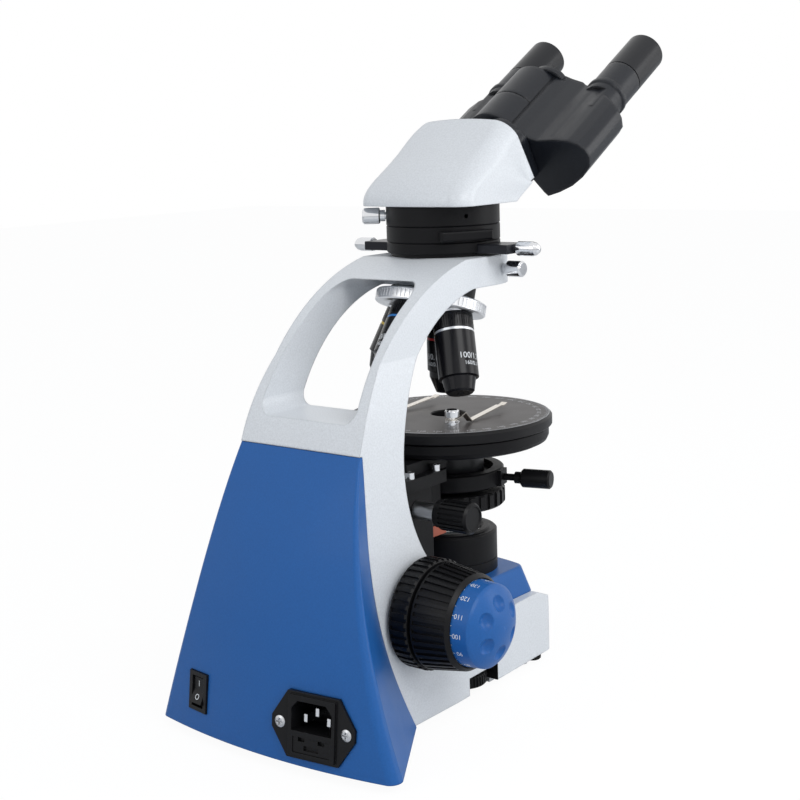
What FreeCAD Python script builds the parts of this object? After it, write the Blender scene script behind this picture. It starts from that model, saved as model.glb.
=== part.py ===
"""Polarizing microscope with a turning stage, a quadruple nosepiece, an analyzer slider and an inclined
binocular head. Millimetres, +Z up, +X to the right of someone at the eyepieces, who sits on the -Y side.
The origin is on the table, in the middle of the outline seen from above."""
import FreeCAD, Part

import math
import os

import Sketcher
from FreeCAD import Placement, Rotation, Vector

doc = FreeCAD.newDocument("microscope")
sheet = doc.addObject("Spreadsheet::Sheet", "sizes")
sheet_row = [0]


class Size:
    """A number together with the formula that gives it from the sheet's cells."""

    def __init__(self, value, text):
        self.value = value
        self.text = text

    def __float__(self):
        return self.value

    def __neg__(self):
        return Size(-self.value, "(-%s)" % self.text)

    def __add__(self, other):
        other = size(other)
        return Size(self.value + other.value, "(%s + %s)" % (self.text, other.text))

    def __sub__(self, other):
        other = size(other)
        return Size(self.value - other.value, "(%s - %s)" % (self.text, other.text))

    def __mul__(self, other):
        other = size(other)
        return Size(self.value * other.value, "(%s * %s)" % (self.text, other.text))

    def __truediv__(self, other):
        other = size(other)
        return Size(self.value / other.value, "(%s / %s)" % (self.text, other.text))

    def __radd__(self, other):
        return size(other) + self

    def __rsub__(self, other):
        return size(other) - self

    def __rmul__(self, other):
        return size(other) * self


def size(value):
    if isinstance(value, Size):
        return value
    return Size(float(value), "%r" % float(value))


def cell(alias, value):
    """Write one driving dimension in the sheet and return it as a Size."""
    sheet_row[0] += 1
    name = "A%d" % sheet_row[0]
    sheet.set(name, str(value))
    sheet.setAlias(name, alias)
    return Size(float(value), "sizes.%s" % alias)


def sine(angle):
    return Size(math.sin(math.radians(angle.value)), "sin(%s * 1deg)" % angle.text)


def cosine(angle):
    return Size(math.cos(math.radians(angle.value)), "cos(%s * 1deg)" % angle.text)


# Fits and walls shared by the whole instrument
air = cell("air_gap", 0.3)
fit = cell("running_fit", 0.05)
seat = cell("seat_gap", 0.1)
cover_wall = cell("cover_wall", 3.0)

# Stage and optical axis levels
stage_top = cell("stage_top", 153.5)
stage_radius = cell("stage_radius", 60.0)
plate_thick = cell("stage_plate_thick", 6.5)
base_ring_thick = cell("stage_ring_thick", 9.0)
base_ring_inset = cell("stage_ring_inset", 2.0)
stage_hole = cell("stage_hole_radius", 10.0)
arm_top = cell("arm_top", 246.0)

# Eyepiece side of the head
tube_angle = cell("tube_angle", 30.0)
tube_reach = cell("tube_reach", 194.6)
tube_origin = cell("tube_origin_height", 261.8)
eye_radius = cell("eyepiece_radius", 12.2)
tube_half_gap = cell("tube_half_gap", 36.0)

# Base and its rear cover
rear_reach = cell("rear_reach", 171.872)
cover_corner = cell("cover_corner_radius", 8.0)
foot_height = cell("foot_height", 4.0)

# The eyepieces overhang in front about as far as the cover reaches behind. This shift puts the origin
# half-way between the two.
axis_shift = (tube_reach * cosine(tube_angle) + eye_radius * sine(tube_angle) - rear_reach) / 2

parts = []


def keep(node, label):
    node.Label = label
    parts.append(node)
    return node


def place(node, x=0.0, y=0.0, z=0.0, turn=None):
    """Put a piece where it belongs, measured from the optical axis at the table."""
    spot = (size(x), size(y) + axis_shift, size(z))
    node.Placement = Placement(Vector(*[float(v) for v in spot]), turn or Rotation())
    for letter, value in zip("xyz", spot):
        node.setExpression("Placement.Base." + letter, value.text)
    return node


def world(shape):
    """Move a computed shape from the optical axis to the origin."""
    return shape.translated(Vector(0, axis_shift.value, 0))


def feature(label, shape):
    node = doc.addObject("Part::Feature", label)
    node.Shape = world(shape)
    return keep(node, label)


def origin_plane(body, role):
    return [item for item in body.Origin.OriginFeatures if item.Role == role][0]


def new_sketch(body, role, name):
    sketch = body.newObject("Sketcher::SketchObject", name)
    sketch.AttachmentSupport = (origin_plane(body, role), "")
    sketch.MapMode = "FlatFace"
    return sketch


def polygon(sketch, points):
    """A closed outline whose corners are held to the sheet. Points are pairs of Size or number."""
    corners = [(size(a), size(b)) for a, b in points]
    count = len(corners)
    for i in range(count):
        first = Vector(corners[i][0].value, corners[i][1].value, 0)
        second = Vector(corners[(i + 1) % count][0].value, corners[(i + 1) % count][1].value, 0)
        sketch.addGeometry(Part.LineSegment(first, second), False)
    for i in range(count):
        sketch.addConstraint(Sketcher.Constraint("Coincident", i, 2, (i + 1) % count, 1))
    for i, (a, b) in enumerate(corners):
        for kind, value in (("DistanceX", a), ("DistanceY", b)):
            index = sketch.addConstraint(Sketcher.Constraint(kind, -1, 1, i, 1, value.value))
            sketch.setExpression("Constraints[%d]" % index, value.text)
    return sketch


def circle(sketch, radius, x=0.0, y=0.0):
    radius, x, y = size(radius), size(x), size(y)
    first = sketch.addGeometry(Part.Circle(Vector(x.value, y.value, 0), Vector(0, 0, 1), radius.value), False)
    for kind, value in (("DistanceX", x), ("DistanceY", y)):
        index = sketch.addConstraint(Sketcher.Constraint(kind, -1, 1, first, 3, value.value))
        sketch.setExpression("Constraints[%d]" % index, value.text)
    index = sketch.addConstraint(Sketcher.Constraint("Radius", first, radius.value))
    sketch.setExpression("Constraints[%d]" % index, radius.text)
    return first


def new_body(label):
    return keep(doc.addObject("PartDesign::Body", label), label)


def turned(label, outline):
    """A piece turned on a lathe: outline gives (radius, height) pairs round one half section."""
    body = new_body(label)
    sketch = polygon(new_sketch(body, "XZ_Plane", label + "_section"), outline)
    spin = body.newObject("PartDesign::Revolution", label + "_spin")
    spin.Profile = sketch
    spin.ReferenceAxis = (sketch, ["V_Axis"])
    spin.Angle = 360.0
    body.Tip = spin
    return body


def ribs(body, label, radius, depth, width, low, high, count):
    """Grooves along a knob's side, spaced evenly round it."""
    sketch = new_sketch(body, "XY_Plane", label + "_groove_outline")
    half = size(width) / 2
    polygon(sketch, [(radius - depth, -half), (radius + depth, -half), (radius + depth, half),
                     (radius - depth, half)])
    sketch.AttachmentOffset = Placement(Vector(0, 0, float(low)), Rotation())
    sketch.setExpression("AttachmentOffset.Base.z", size(low).text)
    before = body.Tip
    groove = body.newObject("PartDesign::Pocket", label + "_groove")
    groove.Profile = sketch
    groove.Type = 0
    groove.Length = float(size(high) - low)
    groove.setExpression("Length", (size(high) - low).text)
    groove.Reversed = True
    body.Tip = groove
    pattern = body.newObject("PartDesign::PolarPattern", label + "_ribs")
    pattern.Originals = [groove]
    pattern.Axis = (sketch, ["N_Axis"])
    pattern.Angle = 360.0
    pattern.Occurrences = count
    body.Tip = pattern
    return before


FACE_X = Rotation(Vector(0, 1, 0), 90)
FACE_MINUS_X = Rotation(Vector(0, 1, 0), -90)


def box(x_low, x_high, y_low, y_high, z_low, z_high):
    low = Vector(float(x_low), float(y_low), float(z_low))
    span = Vector(float(x_high), float(y_high), float(z_high)) - low
    return Part.makeBox(span.x, span.y, span.z, low)


def rod(radius, start, end):
    start, end = Vector(*[float(v) for v in start]), Vector(*[float(v) for v in end])
    return Part.makeCylinder(float(radius), (end - start).Length, start, end - start)


def side_profile(edges, half_width):
    """A solid from an outline in the Y-Z plane, as wide as twice half_width."""
    face = Part.Face(Part.Wire(edges))
    solid = face.extrude(Vector(2 * half_width, 0, 0))
    return solid.translated(Vector(-half_width, 0, 0))


def line(a, b):
    return Part.LineSegment(a, b).toShape()


def arc(a, b, c):
    return Part.Arc(a, b, c).toShape()


def on_circle(centre, radius, degrees, x=0.0):
    """A point of the Y-Z plane on a circle, where 0 degrees looks along +Y and 90 up."""
    angle = math.radians(degrees)
    return Vector(x, centre[0] + radius * math.cos(angle), centre[1] + radius * math.sin(angle))


# Stand: arm and base in one casting, open between two legs as a carrying handle
arm_half = cell("arm_half_width", 36.0)
waist_half = cell("waist_half_width", 41.0)
base_half = cell("base_half_width", 46.0)
leg_wall = cell("leg_wall", 7.0)
cover_top = cell("cover_top", 157.0)
arm_back_radius = cell("arm_back_radius", 135.6)
throat_radius = cell("throat_radius", 88.0)
throat_height = cell("throat_centre_height", 142.8)
nose_under = cell("nose_underside", 229.5)
nose_reach = cell("nose_reach", 37.0)
handle_low = cell("handle_low", 171.0)
handle_high = cell("handle_high", 236.5)
deck_height = cell("deck_height", 45.0)
casting_bottom = cell("casting_bottom", 6.0)
base_front = cell("base_front", 47.0)
front_cover_top = cell("front_cover_top", 61.5)
back_depth = cell("back_depth", 127.0)
back_foot_depth = cell("back_foot_depth", 97.0)

ARM_CENTRE = (0.7, 113.2)
THROAT_CENTRE = (6.6, throat_height.value)
SHOULDER_HEIGHT = 200.0

# Focus drive
knob_y = cell("knob_axis_depth", 89.0)
knob_z = cell("knob_axis_height", 67.0)
coarse_shaft_radius = cell("coarse_shaft_radius", 5.0)
fine_shaft_radius = cell("fine_shaft_radius", 2.5)
knob_start = cell("knob_start", 46.0)
pinion_radius = cell("pinion_radius", 7.6)
rack_half = cell("rack_half_width", 4.0)
column_half = cell("column_half_width", 20.0)
column_front = cell("column_front", 42.0)
slide_face = cell("slide_face", 66.0)
lift_up = cell("lift_up", 7.0)
dimmer_x = cell("dimmer_x", 30.3)
dimmer_y = cell("dimmer_y", 33.7)
dimmer_radius = cell("dimmer_radius", 13.8)
dimmer_pin = cell("dimmer_pin_radius", 2.0)


def back_boundary(height):
    """Depth of the casting's rear wall, which the rear cover fits over."""
    low, high = 5.0, 114.0
    if height >= high:
        return back_depth.value
    share = (high - height) / (high - low)
    return back_depth.value - (back_depth.value - back_foot_depth.value) * share ** 2


def side_half(height):
    """Half width of the casting at a height, below the shoulder."""
    share = (height - casting_bottom.value) / (cover_top.value - casting_bottom.value)
    return base_half.value + (waist_half.value - base_half.value) * share


def stand_casting():
    back, throat = float(arm_back_radius), float(throat_radius)
    top = float(arm_top)
    ledge_angle = math.degrees(math.asin((cover_top.value - ARM_CENTRE[1]) / back))
    crown_angle = math.degrees(math.asin((top - ARM_CENTRE[1]) / back))
    ledge = on_circle(ARM_CENTRE, back, ledge_angle)
    crown = on_circle(ARM_CENTRE, back, crown_angle)
    half_way = on_circle(ARM_CENTRE, back, (ledge_angle + crown_angle) / 2)
    roof_angle = math.degrees(math.asin((nose_under.value - THROAT_CENTRE[1]) / throat))
    roof = on_circle(THROAT_CENTRE, throat, roof_angle)
    foot = on_circle(THROAT_CENTRE, throat, -50.0)
    middle = on_circle(THROAT_CENTRE, throat, (roof_angle - 50.0) / 2)
    heel = Vector(0, 36.0, deck_height.value)
    nose = float(nose_reach)
    front = float(base_front)
    low = float(casting_bottom)
    waist = Vector(0, float(back_depth), float(cover_top))
    bend = Vector(0, float(back_depth), 114.0)
    sag = Vector(0, back_boundary(57.0), 57.0)
    toe = Vector(0, back_boundary(low), low)
    edges = [
        line(waist, ledge),
        arc(ledge, half_way, crown),
        line(crown, Vector(0, -nose, top)),
        line(Vector(0, -nose, top), Vector(0, -nose + 1.0, top - 6.0)),
        arc(Vector(0, -nose + 1.0, top - 6.0), Vector(0, -nose + 7.0, top - 13.0),
            Vector(0, -nose + 16.0, nose_under.value)),
        line(Vector(0, -nose + 16.0, nose_under.value), roof),
        arc(roof, middle, foot),
        line(foot, heel),
        line(heel, Vector(0, -front + 20.0, deck_height.value)),
        line(Vector(0, -front + 20.0, deck_height.value), Vector(0, -front + 8.0, deck_height.value - 5.0)),
        line(Vector(0, -front + 8.0, deck_height.value - 5.0), Vector(0, -front, low)),
        line(Vector(0, -front, low), toe),
        arc(toe, sag, bend),
        line(bend, waist),
    ]
    solid = side_profile(edges, base_half.value + 5.0)

    wide, mid, slim = base_half.value, waist_half.value, arm_half.value
    ceiling = top + 1.0
    right = [Vector(wide, 0, low), Vector(mid, 0, cover_top.value), Vector(slim, 0, SHOULDER_HEIGHT),
             Vector(slim, 0, ceiling)]
    bulge = Vector((mid + slim) / 2 + 0.9, 0, (cover_top.value + SHOULDER_HEIGHT) / 2)
    left = [Vector(-p.x, 0, p.z) for p in right]
    other_bulge = Vector(-bulge.x, 0, bulge.z)
    rear_view = [
        line(right[0], right[1]), arc(right[1], bulge, right[2]), line(right[2], right[3]),
        line(right[3], left[3]), line(left[3], left[2]), arc(left[2], other_bulge, left[1]),
        line(left[1], left[0]), line(left[0], right[0]),
    ]
    band = Part.Face(Part.Wire(rear_view)).extrude(Vector(0, 260, 0)).translated(Vector(0, -90, 0))
    solid = solid.common(band)

    # The base narrows towards a rounded front, and the nose of the arm is round seen from above
    taper = 4.0
    corner = 12.0
    front_edges = [
        line(Vector(-wide, 140, 0), Vector(-wide, 60, 0)),
        line(Vector(-wide, 60, 0), Vector(-wide + taper, -front + corner, 0)),
        arc(Vector(-wide + taper, -front + corner, 0), Vector(-wide + taper + 3.5, -front + 3.5, 0),
            Vector(-wide + taper + corner, -front + 1.0, 0)),
        arc(Vector(-wide + taper + corner, -front + 1.0, 0), Vector(0, -front - 3.0, 0),
            Vector(wide - taper - corner, -front + 1.0, 0)),
        arc(Vector(wide - taper - corner, -front + 1.0, 0), Vector(wide - taper - 3.5, -front + 3.5, 0),
            Vector(wide - taper, -front + corner, 0)),
        line(Vector(wide - taper, -front + corner, 0), Vector(wide, 60, 0)),
        line(Vector(wide, 60, 0), Vector(wide, 140, 0)),
        line(Vector(wide, 140, 0), Vector(-wide, 140, 0)),
    ]
    plan = Part.Face(Part.Wire(front_edges)).extrude(Vector(0, 0, 120))
    lower = solid.common(plan)
    upper = solid.common(box(-80, 80, -80, 200, 120, 300))
    nose_plan = rod(slim, (0, 0, 200), (0, 0, 300)).fuse(box(-80, 80, 0, 200, 120, 300))
    upper = upper.common(nose_plan)
    solid = lower.fuse(upper).removeSplitter()

    # Handle opening between the legs
    inner = slim - leg_wall.value
    flare = mid - leg_wall.value
    radius = 9.0
    window = Part.Wire([
        line(Vector(-flare + radius, 0, handle_low.value), Vector(flare - radius, 0, handle_low.value)),
        arc(Vector(flare - radius, 0, handle_low.value), Vector(flare - 3.0, 0, handle_low.value + 3.0),
            Vector(flare - 1.5, 0, handle_low.value + radius)),
        line(Vector(flare - 1.5, 0, handle_low.value + radius), Vector(inner, 0, handle_high.value - radius)),
        arc(Vector(inner, 0, handle_high.value - radius), Vector(inner - 2.6, 0, handle_high.value - 2.6),
            Vector(inner - radius, 0, handle_high.value)),
        line(Vector(inner - radius, 0, handle_high.value), Vector(-inner + radius, 0, handle_high.value)),
        arc(Vector(-inner + radius, 0, handle_high.value),
            Vector(-inner + 2.6, 0, handle_high.value - 2.6), Vector(-inner, 0, handle_high.value - radius)),
        line(Vector(-inner, 0, handle_high.value - radius),
             Vector(-flare + 1.5, 0, handle_low.value + radius)),
        arc(Vector(-flare + 1.5, 0, handle_low.value + radius),
            Vector(-flare + 3.0, 0, handle_low.value + 3.0), Vector(-flare + radius, 0, handle_low.value)),
    ])
    opening = Part.Face(window).extrude(Vector(0, 140, 0)).translated(Vector(0, 20, 0))
    solid = solid.cut(opening)

    # Light path through the nose, focus shaft bore, rack pocket, cable room and dimmer slot
    solid = solid.cut(rod(light_bore.value, (0, 0, nose_under.value - 1), (0, 0, top + 1)))
    solid = solid.cut(rod(bush_radius.value + fit.value, (-60, knob_y.value, knob_z.value),
                          (60, knob_y.value, knob_z.value)))
    solid = solid.cut(box(-rack_half - 5, rack_half + 5, 60, knob_y + pinion_radius + 2, 42, 118))
    solid = solid.cut(box(-wide + 14, wide - 14, -front + 16, back_foot_depth - 14, low - 1, deck_height - 8))
    solid = solid.cut(rod(lamp_room.value, (0, 0, deck_height.value - 10), (0, 0, deck_height.value + 5)))
    solid = solid.cut(box(-column_half - 0.5, column_half + 0.5, 30, slide_face, front_cover_top + air, 100))
    solid = solid.cut(dimmer_slot(low - 1))
    solid = solid.cut(rod(clamp_stem + fit, (-60, arm_clamp_y, arm_clamp_z), (-24, arm_clamp_y, arm_clamp_z)))
    for x, y in PLATE_SCREWS:
        solid = solid.cut(rod(screw_radius + fit, (x, y, low - 1), (x, y, low + 8)))
    return solid.fuse(rod(dimmer_pin, (-dimmer_x, dimmer_y, dimmer_low),
                          (-dimmer_x, dimmer_y, dimmer_roof + 1)))


def dimmer_slot(floor):
    """Room for the lamp dimmer's thumbwheel, open at the near side."""
    reach = dimmer_radius + air
    return box(-60, -dimmer_x + reach, dimmer_y - reach, dimmer_y + reach, floor, dimmer_roof)


PLATE_SCREWS = [(-35.0, 70.0), (35.0, 70.0), (-35.0, -20.0), (35.0, -20.0)]
screw_radius = cell("plate_screw_radius", 1.5)
dimmer_roof = cell("dimmer_roof", 16.0)
dimmer_low = cell("dimmer_low", 6.8)
clamp_stem = cell("arm_clamp_stem_radius", 2.0)
arm_clamp_y = cell("arm_clamp_depth", -8.0)
arm_clamp_z = cell("arm_clamp_height", 238.0)
light_bore = cell("light_bore_radius", 12.0)
bush_radius = cell("bush_radius", 8.0)
lamp_room = cell("lamp_room_radius", 17.0)
casting = feature("stand_casting", stand_casting())

# Rear cover: a flared shell that closes the back of the base
# Each station gives a height, the half width between its rear corners and their depth
COVER_STATIONS = [(5.0, 85.3, 159.8), (45.0, 71.0, 157.3), (85.0, 58.5, 151.5), (121.0, 49.1, 142.7),
                  (156.7, 41.1, 129.0)]
cover_bulge = cell("cover_bulge", 9.4)


def cover_section(height, half, depth, wall, overlap):
    """One level outline of the cover, or of its hollow when a wall is given. The rear is convex."""
    share = (157.0 - height) / 152.0
    bulge = 0.6 + (cover_bulge.value - 0.6) * share
    corner = 1.2 + (cover_corner.value - 1.2) * share
    front = Vector(side_half(height), back_boundary(height) + seat.value, 0)
    rear = Vector(half, depth, 0)
    along = rear - front
    length = along.Length
    along.normalize()
    outward = Vector(along.y, -along.x, 0)
    start = front - outward * wall - along * overlap
    rear = rear - Vector(wall * (1 - outward.y) / outward.x, wall, 0)
    start.z = rear.z = height
    corner = min(max(corner - wall, 0.8), length * 0.45)
    reach = rear.x
    before = rear - along * corner
    after = Vector(reach - corner, rear.y + bulge * (1 - ((reach - corner) / reach) ** 2), height)
    middle = (before + after) / 2 + Vector(0.21 * corner, 0.16 * corner, 0)
    edges = [
        line(mirrored(start), start), line(start, before), arc(before, middle, after),
        arc(after, Vector(0, rear.y + bulge, height), mirrored(after)),
        arc(mirrored(after), mirrored(middle), mirrored(before)), line(mirrored(before), mirrored(start)),
    ]
    return Part.Wire(edges)


def mirrored(point):
    return Vector(-point.x, point.y, point.z)


def cover_hull(wall=0.0, overlap=0.0):
    wires = [cover_section(height, half, depth, wall, overlap) for height, half, depth in COVER_STATIONS]
    return Part.makeLoft(wires, True, False)


inlet_x = cell("inlet_x", -35.0)
inlet_z = cell("inlet_z", 26.0)
inlet_half_long = cell("inlet_half_length", 25.0)
inlet_half_high = cell("inlet_half_height", 17.0)
inlet_face = cell("inlet_face_depth", 163.6)
inlet_turn = cell("inlet_turn", 6.5)
rear_tilt = cell("rear_tilt", 6.5)
inlet_body_half = cell("inlet_body_half_width", 14.0)
inlet_body_deep = cell("inlet_body_depth", 22.0)
screw_pitch = cell("inlet_screw_pitch", 40.0)
switch_x = cell("switch_x", 47.5)
switch_z = cell("switch_z", 26.5)
switch_half_wide = cell("switch_half_width", 7.5)
switch_half_high = cell("switch_half_height", 10.5)
switch_face = cell("switch_face_depth", 162.8)
switch_turn = cell("switch_turn", -9.0)
flange_thick = cell("flange_thick", 3.0)


def at_inlet(shape):
    """Move a shape drawn round the inlet's middle, facing +Y, to its place on the cover."""
    turned_shape = shape.copy()
    turned_shape.rotate(Vector(0, 0, 0), Vector(1, 0, 0), rear_tilt.value)
    turned_shape.rotate(Vector(0, 0, 0), Vector(0, 0, 1), inlet_turn.value)
    return turned_shape.translated(Vector(inlet_x.value, inlet_face.value, inlet_z.value))


def at_switch(shape):
    turned_shape = shape.copy()
    turned_shape.rotate(Vector(0, 0, 0), Vector(1, 0, 0), rear_tilt.value)
    turned_shape.rotate(Vector(0, 0, 0), Vector(0, 0, 1), switch_turn.value)
    return turned_shape.translated(Vector(switch_x.value, switch_face.value, switch_z.value))


def prism_y(points, y_low, y_high):
    corners = [Vector(float(x), float(y_low), float(z)) for x, z in points]
    wire = Part.makePolygon(corners + [corners[0]])
    return Part.Face(wire).extrude(Vector(0, float(y_high) - float(y_low), 0))


def inlet_outline(grow):
    long_half, high_half = inlet_half_long.value + grow, inlet_half_high.value + grow
    blunt, shoulder = 8.0, 15.5
    return [(-long_half, -blunt + 5), (-shoulder, -high_half), (shoulder, -high_half),
            (long_half, -blunt + 5),
            (long_half, blunt - 5), (shoulder, high_half), (-shoulder, high_half), (-long_half, blunt - 5)]


def rear_cover():
    hull = cover_hull()
    hollow = cover_hull(cover_wall.value, 8.0).common(box(-200, 200, 0, 300, -10, cover_top - 4))
    below = box(-200, 200, 0, 300, -10, 5.01)
    shell = hull.cut(hollow.fuse(below))
    shell = shell.cut(at_inlet(prism_y(inlet_outline(0.1), -1.2, 20)))
    body_half = inlet_body_half.value + 0.3
    shell = shell.cut(at_inlet(box(-body_half, body_half, -30, 10, -15.8, 15.8)))
    for side in (-1, 1):
        spot = side * screw_pitch.value / 2
        shell = shell.cut(at_inlet(rod(1.6, (spot, -12, 0), (spot, 5, 0))))
    wide, high = switch_half_wide.value - 1.3, switch_half_high.value - 1.3
    shell = shell.cut(at_switch(box(-wide, wide, -14, 14, -high, high)))
    shell = shell.cut(at_switch(box(-wide - 1.5, wide + 1.5, 0, 14, -high - 1.5, high + 1.5)))
    shell = shell.cut(casting_raw)
    return max(shell.Solids, key=lambda solid: solid.Volume)


casting_raw = casting.Shape.translated(Vector(0, -axis_shift.value, 0))
feature("rear_cover", rear_cover())


def front_cover():
    """The blue lid of the lamp house, between the arm's foot and the front of the base."""
    top, low = front_cover_top.value, deck_height.value + 0.05
    wide_top, wide_low = 34.5, 37.5
    front_top, front_low = -25.0, -31.0
    lower = Part.Wire([
        line(Vector(wide_low, 50, low), Vector(wide_low, front_low + 6, low)),
        arc(Vector(wide_low, front_low + 6, low), Vector(wide_low - 1.5, front_low + 2, low),
            Vector(wide_low - 6, front_low - 0.5, low)),
        arc(Vector(wide_low - 6, front_low - 0.5, low), Vector(0, front_low - 5, low),
            Vector(-wide_low + 6, front_low - 0.5, low)),
        arc(Vector(-wide_low + 6, front_low - 0.5, low), Vector(-wide_low + 1.5, front_low + 2, low),
            Vector(-wide_low, front_low + 6, low)),
        line(Vector(-wide_low, front_low + 6, low), Vector(-wide_low, 50, low)),
        line(Vector(-wide_low, 50, low), Vector(wide_low, 50, low)),
    ])
    upper = Part.Wire([
        line(Vector(wide_top, 50, top), Vector(wide_top, front_top + 6, top)),
        arc(Vector(wide_top, front_top + 6, top), Vector(wide_top - 1.5, front_top + 2, top),
            Vector(wide_top - 6, front_top - 0.5, top)),
        arc(Vector(wide_top - 6, front_top - 0.5, top), Vector(0, front_top - 5, top),
            Vector(-wide_top + 6, front_top - 0.5, top)),
        arc(Vector(-wide_top + 6, front_top - 0.5, top), Vector(-wide_top + 1.5, front_top + 2, top),
            Vector(-wide_top, front_top + 6, top)),
        line(Vector(-wide_top, front_top + 6, top), Vector(-wide_top, 50, top)),
        line(Vector(-wide_top, 50, top), Vector(wide_top, 50, top)),
    ])
    lid = Part.makeLoft([lower, upper], True, True)
    rim = [edge for edge in lid.Edges if edge.BoundBox.ZMin > top - 0.01 and edge.BoundBox.YMin < 49]
    lid = lid.makeFillet(1.6, rim)
    lid = lid.cut(box(-31.5, 31.5, -24, 30, low - 1, top - 3))
    lid = lid.cut(rod(lamp_room.value, (0, 0, low - 1), (0, 0, top + 1)))
    return lid.cut(casting_raw)


feature("front_cover", front_cover())

# Underside: a steel plate with four screws and four rubber feet
plate_low = foot_height - 0.5


def under_outline(inset, deep):
    wide = base_half.value - inset
    rear = 158.7 - inset
    return [Vector(-wide + 5, -base_front.value + inset, deep),
            Vector(wide - 5, -base_front.value + inset, deep),
            Vector(wide - 0.6, 92.0, deep), Vector(81.3 - inset - 8, rear - 2, deep),
            Vector(-81.3 + inset + 8, rear - 2, deep),
            Vector(-wide + 0.6, 92.0, deep)]


FEET = [(-33.0, -34.0), (33.0, -34.0), (-60.0, 138.0), (60.0, 138.0)]
foot_radius = cell("foot_radius", 5.0)


def bottom_plate():
    corners = under_outline(4.2, plate_low.value)
    wire = Part.makePolygon(corners + [corners[0]])
    plate = Part.Face(wire).extrude(Vector(0, 0, casting_bottom.value - plate_low.value))
    plate = plate.cut(dimmer_slot(0)).cut(cover_hull().cut(cover_hull(cover_wall.value + air.value, 8.0)))
    plate = max(plate.Solids, key=lambda solid: solid.Volume)
    for x, y in PLATE_SCREWS:
        plate = plate.cut(rod(screw_radius + fit, (x, y, 0), (x, y, 20)))
    return plate


feature("bottom_plate", bottom_plate())


def group(solids):
    return Part.makeCompound(solids)


def feet():
    solids = []
    for x, y in FEET:
        body = rod(foot_radius, (x, y, 0), (x, y, plate_low.value))
        solids.append(body.makeChamfer(0.8, [edge for edge in body.Edges if edge.BoundBox.ZMax < 0.1]))
    return group(solids)


feature("rubber_feet", feet())


def plate_screws():
    solids = []
    for x, y in PLATE_SCREWS:
        head = rod(2.8, (x, y, plate_low - 1.6), (x, y, plate_low))
        shank = rod(screw_radius, (x, y, plate_low), (x, y, casting_bottom + 7))
        solids.append(head.fuse(shank).cut(box(x - 2.2, x + 2.2, y - 0.3, y + 0.3, 0, plate_low - 1.0)))
    return group(solids)


feature("base_screws", plate_screws())

# Lamp house
drum_radius = cell("drum_radius", 26.7)
drum_top = cell("drum_top", 85.5)
drum_split = cell("drum_split", 68.0)
lens_radius = cell("field_lens_radius", 17.5)
drum_wall = cell("drum_wall", 4.0)
groove_deep = cell("drum_groove", 0.5)

drum = turned("illuminator_drum", [
    (drum_radius - drum_wall, front_cover_top), (drum_radius, front_cover_top),
    (drum_radius, drum_split), (drum_radius - groove_deep, drum_split),
    (drum_radius - groove_deep, drum_split + 0.6),
    (drum_radius, drum_split + 0.6), (drum_radius, drum_top - 1.0), (drum_radius - 1.0, drum_top),
    (drum_radius - 4.0, drum_top), (drum_radius - 4.6, drum_top + 1.0), (lens_radius + 1.6, drum_top + 1.0),
    (lens_radius, drum_top - 0.4), (lens_radius, drum_top - 3.0), (lens_radius - 2.0, drum_top - 3.0),
    (lens_radius - 2.0, drum_top - 5.0), (drum_radius - drum_wall, drum_top - 5.0),
])
place(drum)
field_lens = turned("field_lens", [
    (0.0, drum_top - 3.0), (lens_radius - 2.0, drum_top - 3.0), (lens_radius - seat, drum_top - 3.0),
    (lens_radius - seat, drum_top - 1.6), (lens_radius * 0.6, drum_top - 0.6), (0.0, drum_top - 0.2),
])
place(field_lens)

lamp_radius = cell("lamp_radius", 5.0)
holder_top = cell("lamp_holder_top", 54.0)
bridge = cell("lamp_bridge_width", 9.0)


def revolved(points):
    """A turned solid about the Z axis, from (radius, height) pairs."""
    corners = [Vector(float(r), 0, float(z)) for r, z in points]
    face = Part.Face(Part.makePolygon(corners + [corners[0]]))
    return face.revolve(Vector(0, 0, 0), Vector(0, 0, 1), 360)


def lamp_holder():
    """Ceramic socket on a metal bridge under the deck."""
    low = deck_height - 8.0
    socket = revolved([(0.0, low), (12.0, low), (12.0, deck_height - 2.0), (8.0, deck_height - 2.0),
                       (8.0, holder_top),
                       (3.0, holder_top), (3.0, holder_top - 4.0), (0.0, holder_top - 4.0)])
    return socket.fuse(box(-lamp_room - 12, lamp_room + 12, -bridge, bridge, low - 2.0, low))


feature("lamp_holder", lamp_holder())
lamp_bulb = turned("halogen_bulb", [
    (0.0, holder_top - 4.0), (3.0 - fit, holder_top - 4.0), (3.0 - fit, holder_top + 0.5),
    (lamp_radius, holder_top + 3.0),
    (lamp_radius, holder_top + 13.0), (lamp_radius - 2.0, holder_top + 16.5), (0.0, holder_top + 18.0),
])
place(lamp_bulb)

# Mains inlet with its fuse drawer, and the power switch
drawer_half = cell("drawer_half_width", 11.0)
drawer_low = cell("drawer_low", -13.5)
drawer_high = cell("drawer_high", -5.5)


def mains_inlet():
    flange = prism_y(inlet_outline(0.0), -1.2, flange_thick)
    rear_block = box(-inlet_body_half, inlet_body_half, -inlet_body_deep, 0, -15.5, 15.5)
    body = flange.fuse(rear_block)
    lip = box(-inlet_body_half, inlet_body_half, 0, flange_thick + 1.4, -15.5, 15.5)
    body = body.fuse(lip)
    mouth = prism_y([(-12.2, -2.6), (12.2, -2.6), (12.2, 8.6), (8.6, 12.8), (-8.6, 12.8), (-12.2, 8.6)],
                    -15.0, 12.0)
    body = body.cut(mouth)
    body = body.cut(box(-drawer_half - 0.15, drawer_half + 0.15, -20.0, 12, drawer_low - 0.15,
                        drawer_high + 0.15))
    for side in (-1, 1):
        spot = side * screw_pitch.value / 2
        body = body.cut(rod(1.55, (spot, -3, 0), (spot, 6, 0)))
        body = body.cut(Part.makeCone(3.2, 1.55, 1.6, Vector(spot, flange_thick.value, 0), Vector(0, -1, 0)))
    return at_inlet(body)


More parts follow.
